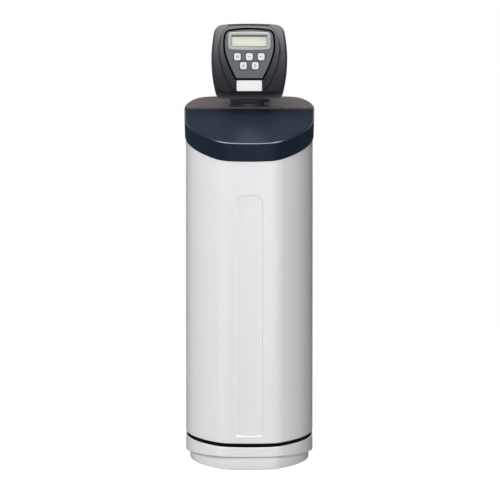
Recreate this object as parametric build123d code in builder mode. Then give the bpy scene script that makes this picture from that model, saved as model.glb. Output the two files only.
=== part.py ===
from build123d import *
from math import cos, radians, sin, sqrt, tan
import os

# Cabinet water softener. Origin: the centre of the cabinet's footprint on the floor.
# +Z is up, the front faces -Y, +X is to the right seen from the front. Millimetres.

# Fits and cuts
slide_gap = 0.3          # between curved faces that move past each other, and loose seats
running_play = 0.05      # radial play of a shaft in its bore
overrun = 2              # how far a cutting shape runs past what it cuts

# Cabinet plan, from the nose backwards
boot_side_gap = 18.2     # from the tank's boot to the plinth's inner wall, at the sides
boot_rear_gap = 6.2      # and at the back
nose_radius = 288
nose_angle = 10
cheek_radius = 60
cheek_angle = 50
side_end = 330           # from the nose to where the sides start to draw in
haunch_angle = 20
corner_radius = 55

# Plinth and its seam
plinth_top_z = 60.5
plinth_wall = 3.5
plinth_floor = 4
foot_inset = 10.5
foot_edge_radius = 2.5
band_front_z = 36
band_slope = 3.7         # degrees that the band's lower edge falls towards the back
band_edge_radius = 1.5
flange_width = 12
flange_thickness = 4
gasket_height = 9.5
gasket_inset = 3

# Cabinet shell
shell_wall = 3.5
shell_foot_radius = 2.5
seam_front_z = 805       # the lid's seam at the nose
lid_slope = 8            # degrees that the lid falls towards the front
recess_width = 66.5
recess_bottom_z = 92
recess_top_z = 715
recess_top_radius = 19
recess_foot_radius = 28
recess_depth = 2
recess_draft = 45        # degrees that the recess's walls lean outwards

# Salt lid and rear deck
crease_from_nose = 318
cap_overhang = 1.5
cap_draft = 1.8          # degrees that the cap's skirt leans outwards going up
cap_wall = 3
lid_height = 50
lid_edge_radius = 5
lid_gap = 0.5
crease_gap = 2.2
crease_edge_radius = 1.5
deck_step = 4
deck_edge_radius = 7
deck_apron = 16          # how far the deck's front wall hangs below the seam
deck_tank_gap = 3

# Lid hinge
hinge_drop = 4.7         # from the lid's top face at the crease to the pin's axis
hinge_setback = 2.6      # from the lid's rear edge to the pin's axis
hinge_barrel_radius = 3
hinge_pin_radius = 1.5
hinge_spacing = 200
hinge_knuckle_length = 24
hinge_ear_length = 6
hinge_side_gap = 0.4
hinge_pin_head = 1.5

# Mineral tank and what is in it
neck_setback = 52        # from the crease back to the tank's axis
tank_radius = 128.5
tank_length = 889
tank_wall = 3.5
tank_foot_dome = 62
tank_head_dome = 82
tank_neck_radius = 42
tank_neck_length = 22
tank_mouth_radius = 31.75
boot_wall = 3
boot_height = 70
boot_floor = 4
riser_radius = 13.35
riser_wall = 2.3
riser_depth_in_valve = 30
lower_basket_radius = 28
lower_basket_height = 60
lower_basket_lift = 6    # above the tank's inner floor
basket_slot_width = 1.6
basket_slot_count = 18
upper_basket_radius = 28.5
upper_basket_height = 36
upper_basket_wall = 3
gravel_depth = 100
resin_depth = 560

# Salt grid and brine well
grid_z = 180
grid_thickness = 6
grid_margin = 2
grid_hole_radius = 5
grid_hole_pitch = 24
grid_hole_columns = 9
grid_hole_rows = 8
grid_leg_radius = 9
grid_leg_spacing = 170
grid_leg_setback = 60    # from the tank's front to the rear legs
well_side_gap = 21.5     # from the shell's inner wall
well_from_nose = 181
well_radius = 44
well_wall = 2.5
well_height = 796
well_slot_width = 3
well_slot_length = 60
well_slot_lift = 30
well_slot_count = 8
well_cap_thickness = 3
well_cap_skirt = 10
well_cap_rim = 3.5
pickup_offset = -18      # from the well's axis to the pickup tube
pickup_radius = 7
pickup_wall = 1.6
pickup_foot_radius = 13
pickup_foot_height = 70
pickup_lift = 12
pickup_top_z = 690
valve_seat_height = 46
valve_seat_radius = 13
float_offset = 14
float_rod_radius = 3
float_radius = 19
float_height = 64
float_z = 420
float_rod_top_z = 720
float_rod_foot = 10
guide_arm_thickness = 6
guide_arm_width = 16

# Brine line: the tube's outer and inner radii, its bends and where it runs
line_radius = 4.75
line_bore_radius = 3
line_bend = 24
bend_share = 0.45
line_drop_y_gap = 30     # behind the head's back
line_lane_shares = [     # of the side lane, the tank's radius and its top dome
    (0.42, 0.8, 0.8),
    (0.93, 0.42, 0.45),
    (1, -0.35, -0.2),
]
line_last_lane_share = 0.95
line_deck_hole_radius = 8

# Overflow at the back
overflow_x = -58
overflow_z = 700
overflow_radius = 11
overflow_bore = 7
overflow_flange_radius = 19
overflow_flange_thickness = 3
overflow_reach = 26
overflow_drop = 34
overflow_tail = 20
overflow_tail_radius = 9.5
overflow_nut_thickness = 6
overflow_nut_radius = 20

# Control head: outline above its own bottom edge, then its depth
neck_radius = 47
neck_gap = 2
neck_rise = 34           # from the tank's top to the head's bottom
core_radius = 36
head_top_width = 176
head_waist_width = 198.4
head_foot_width = 169
head_waist_height = 105
head_side_height = 196
head_crown = 3.5
head_top_corner = 24
head_foot_corner = 18
head_depth = 168
head_fall = 30           # how far the top falls from the front to the back
head_taper = 8           # how far each side draws in from the front to the back
hood_joint = 52          # where the front cover meets the rear cover
hood_seam = 0.5
head_reach = 118         # from the tank's axis forward to the head's front
head_wall = 2.5
face_setback = 5         # the plain face behind the raised shield
face_edge_radius = 1.5
face_rim = 5             # how far the face lies inside the head's widest section, at the sides
face_corner_growth = 9   # how much rounder the face's corners are than the head's
chin_height = 22         # from the head's bottom up to the face
chin_depth = 16          # from the face back to the head's widest section

# Raised shield on the cover, half-widths at heights above the head's bottom
shield_top_x = 54
shield_top_z = 196
shield_shoulder_x = 73.5
shield_shoulder_z = 166
shield_waist_x = 81.5
shield_waist_z = 129
shield_flank_x = 70.7
shield_flank_z = 78
shield_foot_x = 46
shield_foot_z = 26
shield_draft = 40

# Control panel in the shield, half-widths at heights above the head's bottom
panel_crown_z = 186
panel_top_x = 50
panel_top_z = 182
panel_corner_x = 60
panel_corner_z = 176
panel_shoulder_x = 63.5
panel_shoulder_z = 166
panel_waist_x = 65.4
panel_waist_z = 143
panel_flank_x = 61
panel_flank_z = 115
panel_taper_x = 50.5
panel_taper_z = 86
panel_foot_x = 35
panel_foot_z = 54.5
panel_groove = 5.4
panel_thickness = 2.5

# Display
bezel_width = 109.4
bezel_height = 47.2
bezel_z = 154.2
bezel_corner = 9
bezel_bow = 2.4
bezel_proud = 1.2
bezel_thickness = 3.7
window_width = 92
window_height = 32.5
window_corner = 2.5
window_ledge = 1.5
window_thickness = 1.2
display_width = 98
display_height = 38
display_gap = 0.4
glass_width = 90
glass_height = 24
glass_step = 0.6

# Buttons
button_width = 16.8
button_height = 18.5
button_corner = 4.2
button_pitch = 30.7
button_upper_z = 113
button_lower_z = 89.5
button_proud = 1
button_side_gap = 0.4
button_flange = 1.6
button_flange_thickness = 1.4
button_travel = 1.2
switch_width = 6
switch_height = 3.4
switch_gap = 0.3

# Label plate
label_width = 65
label_height = 27.6
label_z = 37.2
label_thickness = 1.2
label_corner = 1.5

# Circuit board and drive bracket
board_width = 150
board_foot_z = 58
board_top_z = 176
board_y = 14             # behind the head's front
board_thickness = 1.6
board_corner = 6
board_screw_inset = 7
bracket_y = 42
bracket_thickness = 4
bracket_margin = 2
bracket_foot_z = 16
post_radius = 4.5
screw_radius = 1.45
screw_hole_radius = 1.5
screw_head_radius = 2.9
screw_head_height = 2
screw_depth = 10

# Gear train: axial places behind the head's front, teeth and modules
front_layer_y = 18
middle_layer_y = 25
rear_layer_y = 32
gear_thickness = 5
main_teeth = 60
main_module = 1.25
second_small_teeth = 18
second_big_teeth = 45
first_small_teeth = 15
first_big_teeth = 36
pinion_teeth = 12
train_module = 1
mesh_play = 0.15
second_gear_angle = 120
first_gear_angle = 40
motor_angle = -10
gear_pin_radius = 2
gear_boss_radius = 4
hub_radius = 10
hub_end_y = 62
tooth_root_share = 0.27  # half widths, of the pitch
tooth_tip_share = 0.11
tooth_foot_share = 1.25  # depth below and height above the pitch circle, of the module
tooth_head_share = 0.95
motor_radius = 14
motor_length = 30
motor_shaft_radius = 1.5
motor_collar_radius = 5

# Valve body
barrel_z = 59            # the piston's axis above the head's bottom
barrel_radius = 24
barrel_bore = 19
barrel_front_y = 52
barrel_back_y = 146
barrel_end_wall = 4
barrel_flange_radius = 29
barrel_flange_thickness = 6
cap_flange_radius = 28
cap_plug_length = 14
rod_radius = 5
rod_front_y = 46
piston_front_y = 95
piston_length = 40
piston_radius = 13.95
piston_groove = 2
piston_groove_shares = (0.3, 0.7)
stack_front_y = 68
stack_back_y = 138
stack_play = 0.1
stack_window_radius = 4
stack_window_shares = (0.2, 0.5, 0.8)
port_x = 41.3
port_radius = 20
port_bore = 12.5
port_front_y = 95
port_end_y = 190
port_end_wall = 5
web_height = 28
spigot_radius = 31.45
spigot_length = 25
spigot_bore = 27
riser_socket_z = -20
ring_thickness = 2.6

# Small fittings on the valve
injector_x = -30
injector_y = 95
injector_radius = 13
injector_top_z = 94
injector_bore = 6
injector_cap_height = 7
nozzle_length = 22
elbow_y = 128
elbow_z = 106
elbow_radius = 6.5
elbow_tail = 12
drain_y = 98
drain_z = 128
drain_radius = 10
drain_bore = 7.5
drain_socket_radius = 13
drain_socket_top_z = 92
drain_shoulder = 5
drain_tail = 25
drain_tail_radius = 9
clip_thickness = 2
clip_overhang = 3
meter_y = 128
meter_boss_radius = 17
meter_plug_radius = 13.9
meter_top_z = 88
meter_cap_height = 6
meter_arm_thickness = 2
meter_arm_width = 5
turbine_radius = 11.4
turbine_length = 10
turbine_hub_radius = 3.5
turbine_blades = 6
turbine_blade_thickness = 1.2
turbine_shaft_radius = 1.2
turbine_end_gap = 0.5

# Rear cover and power inlet
plate_thickness = 3
jack_x = 72
jack_z = 30
jack_radius = 6
jack_bore = 2.75
jack_length = 16
jack_flange_radius = 9
jack_flange_thickness = 2

# Bypass and pipe fittings
bypass_length = 72
bypass_cross_radius = 15
thread_radius = 16.6
rotor_housing_radius = 22
rotor_radius = 16.95
rotor_housing_half_height = 24
rotor_floor = 4
lever_length = 36
lever_width = 17
lever_tail = 14
lever_thickness = 9
lever_gap = 5
lever_stem_radius = 9
fitting_length = 46
fitting_hex_radius = 20
fitting_hex_length = 14
nut_radius = 26
nut_length = 22
nut_sides = 8

cabinet_width = 2 * (tank_radius + slide_gap + boot_wall + boot_side_gap + plinth_wall + foot_inset)
cabinet_depth = (crease_from_nose + neck_setback + tank_radius + slide_gap + boot_wall + boot_rear_gap
                 + plinth_wall + foot_inset)
front_y = -cabinet_depth / 2
rear_y = cabinet_depth / 2
well_x = -(cabinet_width / 2 - shell_wall - well_side_gap - well_radius)
crease_y = front_y + crease_from_nose
crease_seam_z = seam_front_z + tan(radians(lid_slope)) * crease_from_nose
lid_crease_z = crease_seam_z + lid_height
deck_top_z = lid_crease_z + deck_step
gasket_top_z = plinth_top_z + gasket_height
axis_y = crease_y + neck_setback
tank_floor_z = plinth_floor + boot_floor
tank_top_z = tank_floor_z + tank_length
head_z = tank_top_z + neck_rise
head_y = axis_y - head_reach
chin_back = face_setback + chin_depth

# The plan's arcs run tangent to one another from the nose to the back
cheek_x = (nose_radius - cheek_radius) * sin(radians(nose_angle))
cheek_y = front_y + nose_radius - (nose_radius - cheek_radius) * cos(radians(nose_angle))
flank_radius = (cabinet_width / 2 - cheek_x - cheek_radius * sin(radians(cheek_angle))) / (
    1 - sin(radians(cheek_angle)))
flank_y = cheek_y + (flank_radius - cheek_radius) * cos(radians(cheek_angle))
haunch_radius = (cabinet_depth - side_end - corner_radius * (1 - sin(radians(haunch_angle)))) / (
    sin(radians(haunch_angle)))
corner_x = cabinet_width / 2 - haunch_radius + (haunch_radius - corner_radius) * cos(radians(haunch_angle))
corner_y = rear_y - corner_radius


def cabinet_outline(inset):
    """The cabinet's plan, drawn parallel to its outer wall."""
    with BuildSketch() as outline:
        with BuildLine():
            CenterArc((0, front_y + nose_radius), nose_radius - inset, -90, nose_angle)
            CenterArc((cheek_x, cheek_y), cheek_radius - inset, nose_angle - 90, cheek_angle - nose_angle)
            flank = CenterArc((cabinet_width / 2 - flank_radius, flank_y), flank_radius - inset,
                              cheek_angle - 90, 90 - cheek_angle)
            haunch = CenterArc((cabinet_width / 2 - haunch_radius, front_y + side_end),
                               haunch_radius - inset, 0, haunch_angle)
            Line(flank @ 1, haunch @ 0)
            corner = CenterArc((corner_x, corner_y), corner_radius - inset, haunch_angle, 90 - haunch_angle)
            Line(corner @ 1, (0, rear_y - inset))
            mirror(about=Plane.YZ)
        make_face()
    return outline.sketch


def plan_block(inset, bottom_z, top_z, draft_angle=0):
    """A block of the cabinet's plan between two heights."""
    with BuildPart() as block:
        with BuildSketch(Plane.XY.offset(bottom_z)):
            add(cabinet_outline(inset))
        extrude(amount=top_z - bottom_z, taper=-draft_angle)
    return block.part


def lid_plane(rise):
    """The lid's seam plane, raised by rise: it falls towards the front."""
    lean = radians(lid_slope)
    return Plane(origin=(0, front_y, seam_front_z + rise), x_dir=(1, 0, 0), z_dir=(0, -sin(lean), cos(lean)))


def behind_crease(gap):
    """The upright plane a gap in front of the crease; its top side is the lid's side."""
    return Plane.XZ.offset(-crease_y + gap)


def seam_waste(drop):
    """Everything above the seam, lowered by drop: sloping to the crease, then level to the back."""
    sky_z = deck_top_z + cabinet_width
    nose_y = front_y - cabinet_width
    tail_y = rear_y + cabinet_width
    nose_z = seam_front_z - tan(radians(lid_slope)) * cabinet_width - drop
    with BuildPart() as waste:
        with BuildSketch(Plane.YZ.offset(-cabinet_width)):
            with BuildLine():
                Polyline((nose_y, nose_z), (crease_y, crease_seam_z - drop), (tail_y, crease_seam_z - drop),
                         (tail_y, sky_z), (nose_y, sky_z), close=True)
            make_face()
        extrude(amount=2 * cabinet_width)
    return waste.part


# The plinth is a tray: an inset foot under a full-width band whose lower edge falls to the back
band_plane = Plane(origin=(0, front_y, band_front_z), x_dir=(1, 0, 0),
                   z_dir=(0, sin(radians(band_slope)), cos(radians(band_slope))))
with BuildPart() as band_block:
    add(plan_block(0, 0, plinth_top_z))
    fillet(band_block.faces().sort_by(Axis.Z)[-1].edges(), band_edge_radius)
    split(bisect_by=band_plane, keep=Keep.TOP)
with BuildPart() as band_hollow:
    add(plan_block(plinth_wall, 0, plinth_top_z - flange_thickness))
    split(bisect_by=band_plane.offset(plinth_wall), keep=Keep.TOP)
with BuildPart() as base_plinth:
    add(plan_block(foot_inset, 0, plinth_top_z - flange_thickness))
    fillet(base_plinth.faces().sort_by(Axis.Z)[0].edges(), foot_edge_radius)
    add(band_block.part)
    add(plan_block(foot_inset + plinth_wall, plinth_floor, plinth_top_z + overrun), mode=Mode.SUBTRACT)
    add(band_hollow.part, mode=Mode.SUBTRACT)

# The black gasket ring in the seam between plinth and shell
with BuildPart() as base_gasket:
    add(plan_block(gasket_inset, plinth_top_z, gasket_top_z))
    add(plan_block(flange_width, plinth_top_z - overrun, gasket_top_z + overrun), mode=Mode.SUBTRACT)

# The shell: an open-ended white wall with a foot flange and a recessed front panel
recess_bow = nose_radius - sqrt(nose_radius ** 2 - (recess_width / 2) ** 2)
with BuildPart() as recess_block:
    with BuildSketch(Plane.XZ.offset(-front_y - recess_depth - recess_bow)):
        recess_middle_z = (recess_bottom_z + recess_top_z) / 2
        with Locations((0, recess_middle_z)):
            panel = Rectangle(recess_width, recess_top_z - recess_bottom_z)
        fillet(panel.vertices().group_by(Axis.Y)[-1], recess_top_radius)
        fillet(panel.vertices().group_by(Axis.Y)[0], recess_foot_radius)
    extrude(amount=recess_depth + recess_bow + overrun, taper=-recess_draft)
    add(plan_block(recess_depth, gasket_top_z, seam_front_z), mode=Mode.SUBTRACT)
with BuildPart() as cabinet_shell:
    add(plan_block(0, gasket_top_z, deck_top_z))
    fillet(cabinet_shell.faces().sort_by(Axis.Z)[0].edges(), shell_foot_radius)
    add(seam_waste(0), mode=Mode.SUBTRACT)
    add(plan_block(shell_wall, gasket_top_z + flange_thickness, deck_top_z + overrun), mode=Mode.SUBTRACT)
    add(plan_block(flange_width, gasket_top_z - overrun, deck_top_z), mode=Mode.SUBTRACT)
    add(recess_block.part, mode=Mode.SUBTRACT)
    with BuildSketch(Plane.XZ.offset(-rear_y - overrun)):
        with Locations((overflow_x, overflow_z)):
            Circle(overflow_radius)
    extrude(amount=shell_wall + 2 * overrun, mode=Mode.SUBTRACT)


def upright_post(x, y, radius, foot_z, top_z):
    """A round post standing between two heights."""
    with BuildPart() as post:
        with BuildSketch(Plane.XY.offset(foot_z)):
            with Locations((x, y)):
                Circle(radius)
        extrude(amount=top_z - foot_z)
    return post.part


def head_plane(depth):
    """An upright plane behind the head's front, with its origin level with the head's bottom."""
    return Plane(origin=(0, head_y + depth, head_z), x_dir=(1, 0, 0), z_dir=(0, -1, 0))


def head_bar(x, height, radius, front, back):
    """A round bar in the head, running from one depth back to another."""
    with BuildPart() as bar:
        with BuildSketch(head_plane(back)):
            with Locations((x, height)):
                Circle(radius)
        extrude(amount=back - front)
    return bar.part


def head_post(x, depth, radius, foot, top):
    """A round post in the head, between two heights above its bottom."""
    return upright_post(x, head_y + depth, radius, head_z + foot, head_z + top)


# Hinge axis of the salt lid, just in front of the crease
hinge_y = crease_y - crease_gap - hinge_setback
hinge_z = lid_crease_z - hinge_drop
hinge_half_length = hinge_knuckle_length / 2 + hinge_side_gap + hinge_ear_length


def hinge_bar(x, radius, length):
    """A bar on the hinge's axis, centred at x."""
    with BuildPart() as bar:
        with BuildSketch(Plane(origin=(x - length / 2, hinge_y, hinge_z), z_dir=(1, 0, 0))):
            Circle(radius)
        extrude(amount=length)
    return bar.part


# The salt lid: a sloping top and a skirt that sits on the shell's rim
hinge_places = [-hinge_spacing / 2, hinge_spacing / 2]
with BuildPart() as lid_block:
    add(plan_block(-cap_overhang, seam_front_z, deck_top_z + cap_wall, cap_draft))
    split(bisect_by=lid_plane(lid_height), keep=Keep.BOTTOM)
    split(bisect_by=behind_crease(crease_gap), keep=Keep.TOP)
    rim = lid_block.faces().sort_by(Axis.Z)[-1].edges()
    fillet(rim.sort_by(Axis.Y)[:-1], lid_edge_radius)
    split(bisect_by=lid_plane(lid_gap), keep=Keep.TOP)
with BuildPart() as lid_hollow:
    add(plan_block(cap_wall - cap_overhang, seam_front_z - cap_wall, deck_top_z + cap_wall, cap_draft))
    split(bisect_by=lid_plane(lid_height - cap_wall), keep=Keep.BOTTOM)
relief_length = hinge_ear_length + hinge_pin_head + 2 * hinge_side_gap
with BuildPart() as hinge_relief:
    for place in hinge_places:
        for side in (-1, 1):
            relief_x = place + side * (hinge_knuckle_length / 2 + relief_length / 2)
            add(hinge_bar(relief_x, hinge_barrel_radius + slide_gap, relief_length))
with BuildPart() as salt_lid:
    add(lid_block.part)
    add(lid_hollow.part, mode=Mode.SUBTRACT)
    for place in hinge_places:
        add(hinge_bar(place, hinge_barrel_radius, hinge_knuckle_length))
        with BuildSketch(Plane(origin=(place, hinge_y, hinge_z))):
            Rectangle(hinge_knuckle_length, hinge_barrel_radius)
        extrude(amount=hinge_drop - cap_wall / 2)
        add(hinge_bar(place, hinge_pin_radius + running_play, hinge_knuckle_length + overrun),
            mode=Mode.SUBTRACT)
    add(hinge_relief.part, mode=Mode.SUBTRACT)

# Heights where the tank's straight wall meets its domes
dome_z = tank_top_z - tank_neck_length - tank_head_dome
foot_z = tank_floor_z + tank_foot_dome


def bottle(inset, mouth_radius, mouth_z):
    """The tank's solid of revolution, drawn parallel to its outside by inset."""
    radius = tank_radius - inset
    with BuildPart() as body:
        with BuildSketch(Plane.XZ.offset(-axis_y)):
            with BuildLine():
                EllipticalCenterArc((0, dome_z), radius, tank_head_dome - inset, 0, arc_size=90)
                EllipticalCenterArc((0, foot_z), radius, tank_foot_dome - inset, -90, arc_size=90)
                Line((radius, foot_z), (radius, dome_z))
                Line((0, foot_z - tank_foot_dome + inset), (0, dome_z + tank_head_dome - inset))
            make_face()
        revolve(axis=Axis((0, axis_y, 0), (0, 0, 1)))
        add(upright_post(0, axis_y, mouth_radius, dome_z, mouth_z))
    return body.part


# The rear deck: a level cap with the neck's hole, the brine line's hole and the hinge's ears
line_y = head_y + head_depth + line_drop_y_gap
with BuildPart() as deck_block:
    add(plan_block(-cap_overhang, seam_front_z, deck_top_z, cap_draft))
    split(bisect_by=behind_crease(0), keep=Keep.BOTTOM)
    top_edges = deck_block.faces().sort_by(Axis.Z)[-1].edges()
    crease_edge = top_edges.sort_by(Axis.Y)[0]
    fillet([edge for edge in top_edges if edge != crease_edge], deck_edge_radius)
with BuildPart() as deck_hollow:
    add(plan_block(cap_wall - cap_overhang, seam_front_z - cap_wall, deck_top_z - cap_wall, cap_draft))
    split(bisect_by=behind_crease(-cap_wall), keep=Keep.BOTTOM)
with BuildPart() as rear_deck:
    add(deck_block.part)
    split(bisect_by=Plane.XY.offset(crease_seam_z), keep=Keep.TOP)
    add(deck_hollow.part, mode=Mode.SUBTRACT)
    with BuildSketch(Plane.XZ.offset(-crease_y - cap_wall)):
        with Locations((0, crease_seam_z - deck_apron / 2)):
            Rectangle(cabinet_width - 4 * shell_wall, deck_apron)
    extrude(amount=cap_wall)
    add(bottle(-deck_tank_gap, tank_neck_radius + deck_tank_gap, tank_top_z), mode=Mode.SUBTRACT)
    add(upright_post(0, axis_y, neck_radius + neck_gap, crease_seam_z, deck_top_z + overrun),
        mode=Mode.SUBTRACT)
    add(upright_post(0, line_y, line_deck_hole_radius, crease_seam_z, deck_top_z + overrun),
        mode=Mode.SUBTRACT)
    for place in hinge_places:
        for side in (-1, 1):
            ear_x = place + side * (hinge_half_length - hinge_ear_length / 2)
            add(hinge_bar(ear_x, hinge_barrel_radius, hinge_ear_length))
            with BuildSketch(Plane.XZ.offset(-crease_y)):
                with Locations((ear_x, hinge_z - hinge_barrel_radius / 2)):
                    Rectangle(hinge_ear_length, hinge_barrel_radius)
            extrude(amount=crease_gap + hinge_setback)
        add(hinge_bar(place, hinge_pin_radius, 2 * hinge_half_length + overrun), mode=Mode.SUBTRACT)

# Two steel pins join the lid's knuckles to the deck's ears
with BuildPart() as lid_hinge_pins:
    for place in hinge_places:
        add(hinge_bar(place, hinge_pin_radius, 2 * hinge_half_length))
        for side in (-1, 1):
            head_x = place + side * (hinge_half_length + hinge_pin_head / 2)
            add(hinge_bar(head_x, hinge_barrel_radius, hinge_pin_head))

# The mineral tank, a wound pressure bottle with domed ends, stands in a boot
with BuildPart() as mineral_tank:
    add(bottle(0, tank_neck_radius, tank_top_z))
    add(bottle(tank_wall, tank_mouth_radius, tank_top_z + overrun), mode=Mode.SUBTRACT)

# The boot: a cup that holds the domed bottom upright
with BuildPart() as tank_boot:
    add(upright_post(0, axis_y, tank_radius + slide_gap + boot_wall, plinth_floor,
                     plinth_floor + boot_height))
    add(upright_post(0, axis_y, tank_radius + slide_gap, tank_floor_z, plinth_floor + boot_height + overrun),
        mode=Mode.SUBTRACT)

# Media: gravel round the lower basket and resin above it
bed_floor_z = tank_floor_z + tank_wall
basket_foot_z = bed_floor_z + lower_basket_lift
basket_top_z = basket_foot_z + lower_basket_height
gravel_top_z = bed_floor_z + gravel_depth
resin_top_z = gravel_top_z + resin_depth


def media(low_z, high_z):
    """The tank's inside between two heights, clear of the wall, the basket and the riser."""
    with BuildPart() as bed:
        add(bottle(tank_wall + slide_gap, tank_mouth_radius - slide_gap, tank_top_z))
        split(bisect_by=Plane.XY.offset(high_z), keep=Keep.BOTTOM)
        split(bisect_by=Plane.XY.offset(low_z), keep=Keep.TOP)
        add(upright_post(0, axis_y, riser_radius + slide_gap, low_z, high_z + overrun), mode=Mode.SUBTRACT)
        add(upright_post(0, axis_y, lower_basket_radius + slide_gap, basket_foot_z - slide_gap,
                         basket_top_z + slide_gap), mode=Mode.SUBTRACT)
    return bed.part


with BuildPart() as gravel_bed:
    add(media(bed_floor_z - overrun, gravel_top_z))
with BuildPart() as resin_bed:
    add(media(gravel_top_z, resin_top_z))

# Riser and its two slotted baskets
riser_top_z = head_z + riser_socket_z + riser_depth_in_valve
with BuildPart() as riser_tube:
    add(upright_post(0, axis_y, riser_radius, basket_top_z - lower_basket_lift, riser_top_z))
    add(upright_post(0, axis_y, riser_radius - riser_wall, basket_foot_z, riser_top_z + overrun),
        mode=Mode.SUBTRACT)


def slotted_basket(radius, foot, top, bore, wall):
    """A round strainer with upright slots all round and a bore for the riser."""
    with BuildPart() as basket:
        add(upright_post(0, axis_y, radius, foot, top))
        add(upright_post(0, axis_y, radius - wall, foot + wall, top - wall), mode=Mode.SUBTRACT)
        add(upright_post(0, axis_y, bore, top - 2 * wall, top + overrun), mode=Mode.SUBTRACT)
        with BuildSketch(Plane.XY.offset(foot + 2 * wall)):
            with Locations((0, axis_y)):
                with PolarLocations(radius, basket_slot_count):
                    Rectangle(2 * wall + overrun, basket_slot_width)
        extrude(amount=top - foot - 4 * wall, mode=Mode.SUBTRACT)
    return basket.part


with BuildPart() as lower_basket:
    add(slotted_basket(lower_basket_radius, basket_foot_z, basket_top_z, riser_radius + running_play,
                       upper_basket_wall))
upper_basket_top_z = head_z - neck_rise - spigot_length
with BuildPart() as upper_basket:
    add(slotted_basket(upper_basket_radius, upper_basket_top_z - upper_basket_height, upper_basket_top_z,
                       spigot_bore - upper_basket_wall, upper_basket_wall))
    add(upright_post(0, axis_y, riser_radius + running_play,
                     upper_basket_top_z - upper_basket_height - overrun, upper_basket_top_z),
        mode=Mode.SUBTRACT)

# Salt grid: a drilled platform in front of the tank, on legs
well_y = front_y + well_from_nose
tank_front_y = axis_y - tank_radius
grid_back_y = tank_front_y - grid_margin - boot_wall
with BuildPart() as salt_grid:
    add(plan_block(shell_wall + grid_margin, grid_z, grid_z + grid_thickness))
    split(bisect_by=Plane.XZ.offset(-grid_back_y), keep=Keep.TOP)
    add(upright_post(well_x, well_y, well_radius + grid_margin, grid_z - overrun,
                     grid_z + grid_thickness + overrun), mode=Mode.SUBTRACT)
    with BuildSketch(Plane.XY.offset(grid_z - overrun)):
        grid_middle_y = (front_y + grid_back_y) / 2
        well_limit = well_radius + grid_margin + grid_hole_pitch
        nose_limit = grid_back_y - front_y - grid_hole_pitch
        for spot in GridLocations(grid_hole_pitch, grid_hole_pitch, grid_hole_columns, grid_hole_rows):
            x = spot.position.X
            y = spot.position.Y + grid_middle_y
            clear_of_well = sqrt((x - well_x) ** 2 + (y - well_y) ** 2) > well_limit
            clear_of_nose = sqrt(x ** 2 + (y - grid_back_y) ** 2) < nose_limit
            if clear_of_well and clear_of_nose:
                with Locations((x, y)):
                    Circle(grid_hole_radius)
    extrude(amount=grid_thickness + 2 * overrun, mode=Mode.SUBTRACT)
    leg_rear_y = grid_back_y - grid_leg_radius - grid_margin
    leg_front_y = front_y + grid_leg_setback
    for leg in [(grid_leg_spacing / 2, leg_rear_y), (-grid_leg_spacing / 8, leg_rear_y), (0, leg_front_y)]:
        add(upright_post(leg[0], leg[1], grid_leg_radius, plinth_floor, grid_z))

# Brine well with its slotted foot and its lift-off cap
well_top_z = plinth_floor + well_height
line_entry_z = pickup_top_z + valve_seat_height - line_radius * 2
with BuildPart() as brine_well:
    add(upright_post(well_x, well_y, well_radius, plinth_floor, well_top_z))
    add(upright_post(well_x, well_y, well_radius - well_wall, plinth_floor - overrun, well_top_z + overrun),
        mode=Mode.SUBTRACT)
    with BuildSketch(Plane.XY.offset(plinth_floor + well_slot_lift)):
        with Locations((well_x, well_y)):
            with PolarLocations(well_radius, well_slot_count):
                Rectangle(3 * well_wall, well_slot_width)
    extrude(amount=well_slot_length, mode=Mode.SUBTRACT)
    with BuildSketch(Plane.XZ.offset(-well_y - well_radius - overrun)):
        with Locations((well_x + pickup_offset, line_entry_z)):
            Circle(line_radius + slide_gap)
    extrude(amount=well_radius, mode=Mode.SUBTRACT)
with BuildPart() as brine_well_cap:
    add(upright_post(well_x, well_y, well_radius + well_cap_rim, well_top_z - well_cap_skirt,
                     well_top_z + well_cap_thickness))
    add(upright_post(well_x, well_y, well_radius + slide_gap, well_top_z - well_cap_skirt - overrun,
                     well_top_z), mode=Mode.SUBTRACT)
    fillet(brine_well_cap.faces().sort_by(Axis.Z)[-1].edges(), well_cap_thickness / 2)

# Brine valve: a pickup tube with a foot strainer, a seat block and the float rod's guide
pickup_x = well_x + pickup_offset
float_x = well_x + float_offset
seat_top_z = pickup_top_z + valve_seat_height
with BuildPart() as brine_valve:
    add(upright_post(pickup_x, well_y, pickup_radius, plinth_floor + pickup_lift, pickup_top_z))
    add(upright_post(pickup_x, well_y, pickup_foot_radius, plinth_floor, plinth_floor + pickup_foot_height))
    add(upright_post(pickup_x, well_y, valve_seat_radius, pickup_top_z, seat_top_z))
    for arm_z in (pickup_top_z, plinth_floor + pickup_foot_height):
        with BuildSketch(Plane.XY.offset(arm_z)):
            with Locations(((pickup_x + float_x) / 2, well_y)):
                SlotCenterToCenter(float_x - pickup_x, guide_arm_width)
        extrude(amount=guide_arm_thickness)
    add(upright_post(pickup_x, well_y, pickup_radius - pickup_wall, plinth_floor - overrun, pickup_top_z),
        mode=Mode.SUBTRACT)
    add(upright_post(float_x, well_y, float_rod_radius + running_play, plinth_floor, seat_top_z + overrun),
        mode=Mode.SUBTRACT)
with BuildPart() as brine_float:
    add(upright_post(float_x, well_y, float_radius, float_z, float_z + float_height))
    fillet(brine_float.edges(), float_rod_radius)
    add(upright_post(float_x, well_y, float_rod_radius, float_z - overrun, float_z + float_height + overrun),
        mode=Mode.SUBTRACT)
with BuildPart() as float_rod:
    add(upright_post(float_x, well_y, float_rod_radius, plinth_floor + float_rod_foot, float_rod_top_z))


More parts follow.
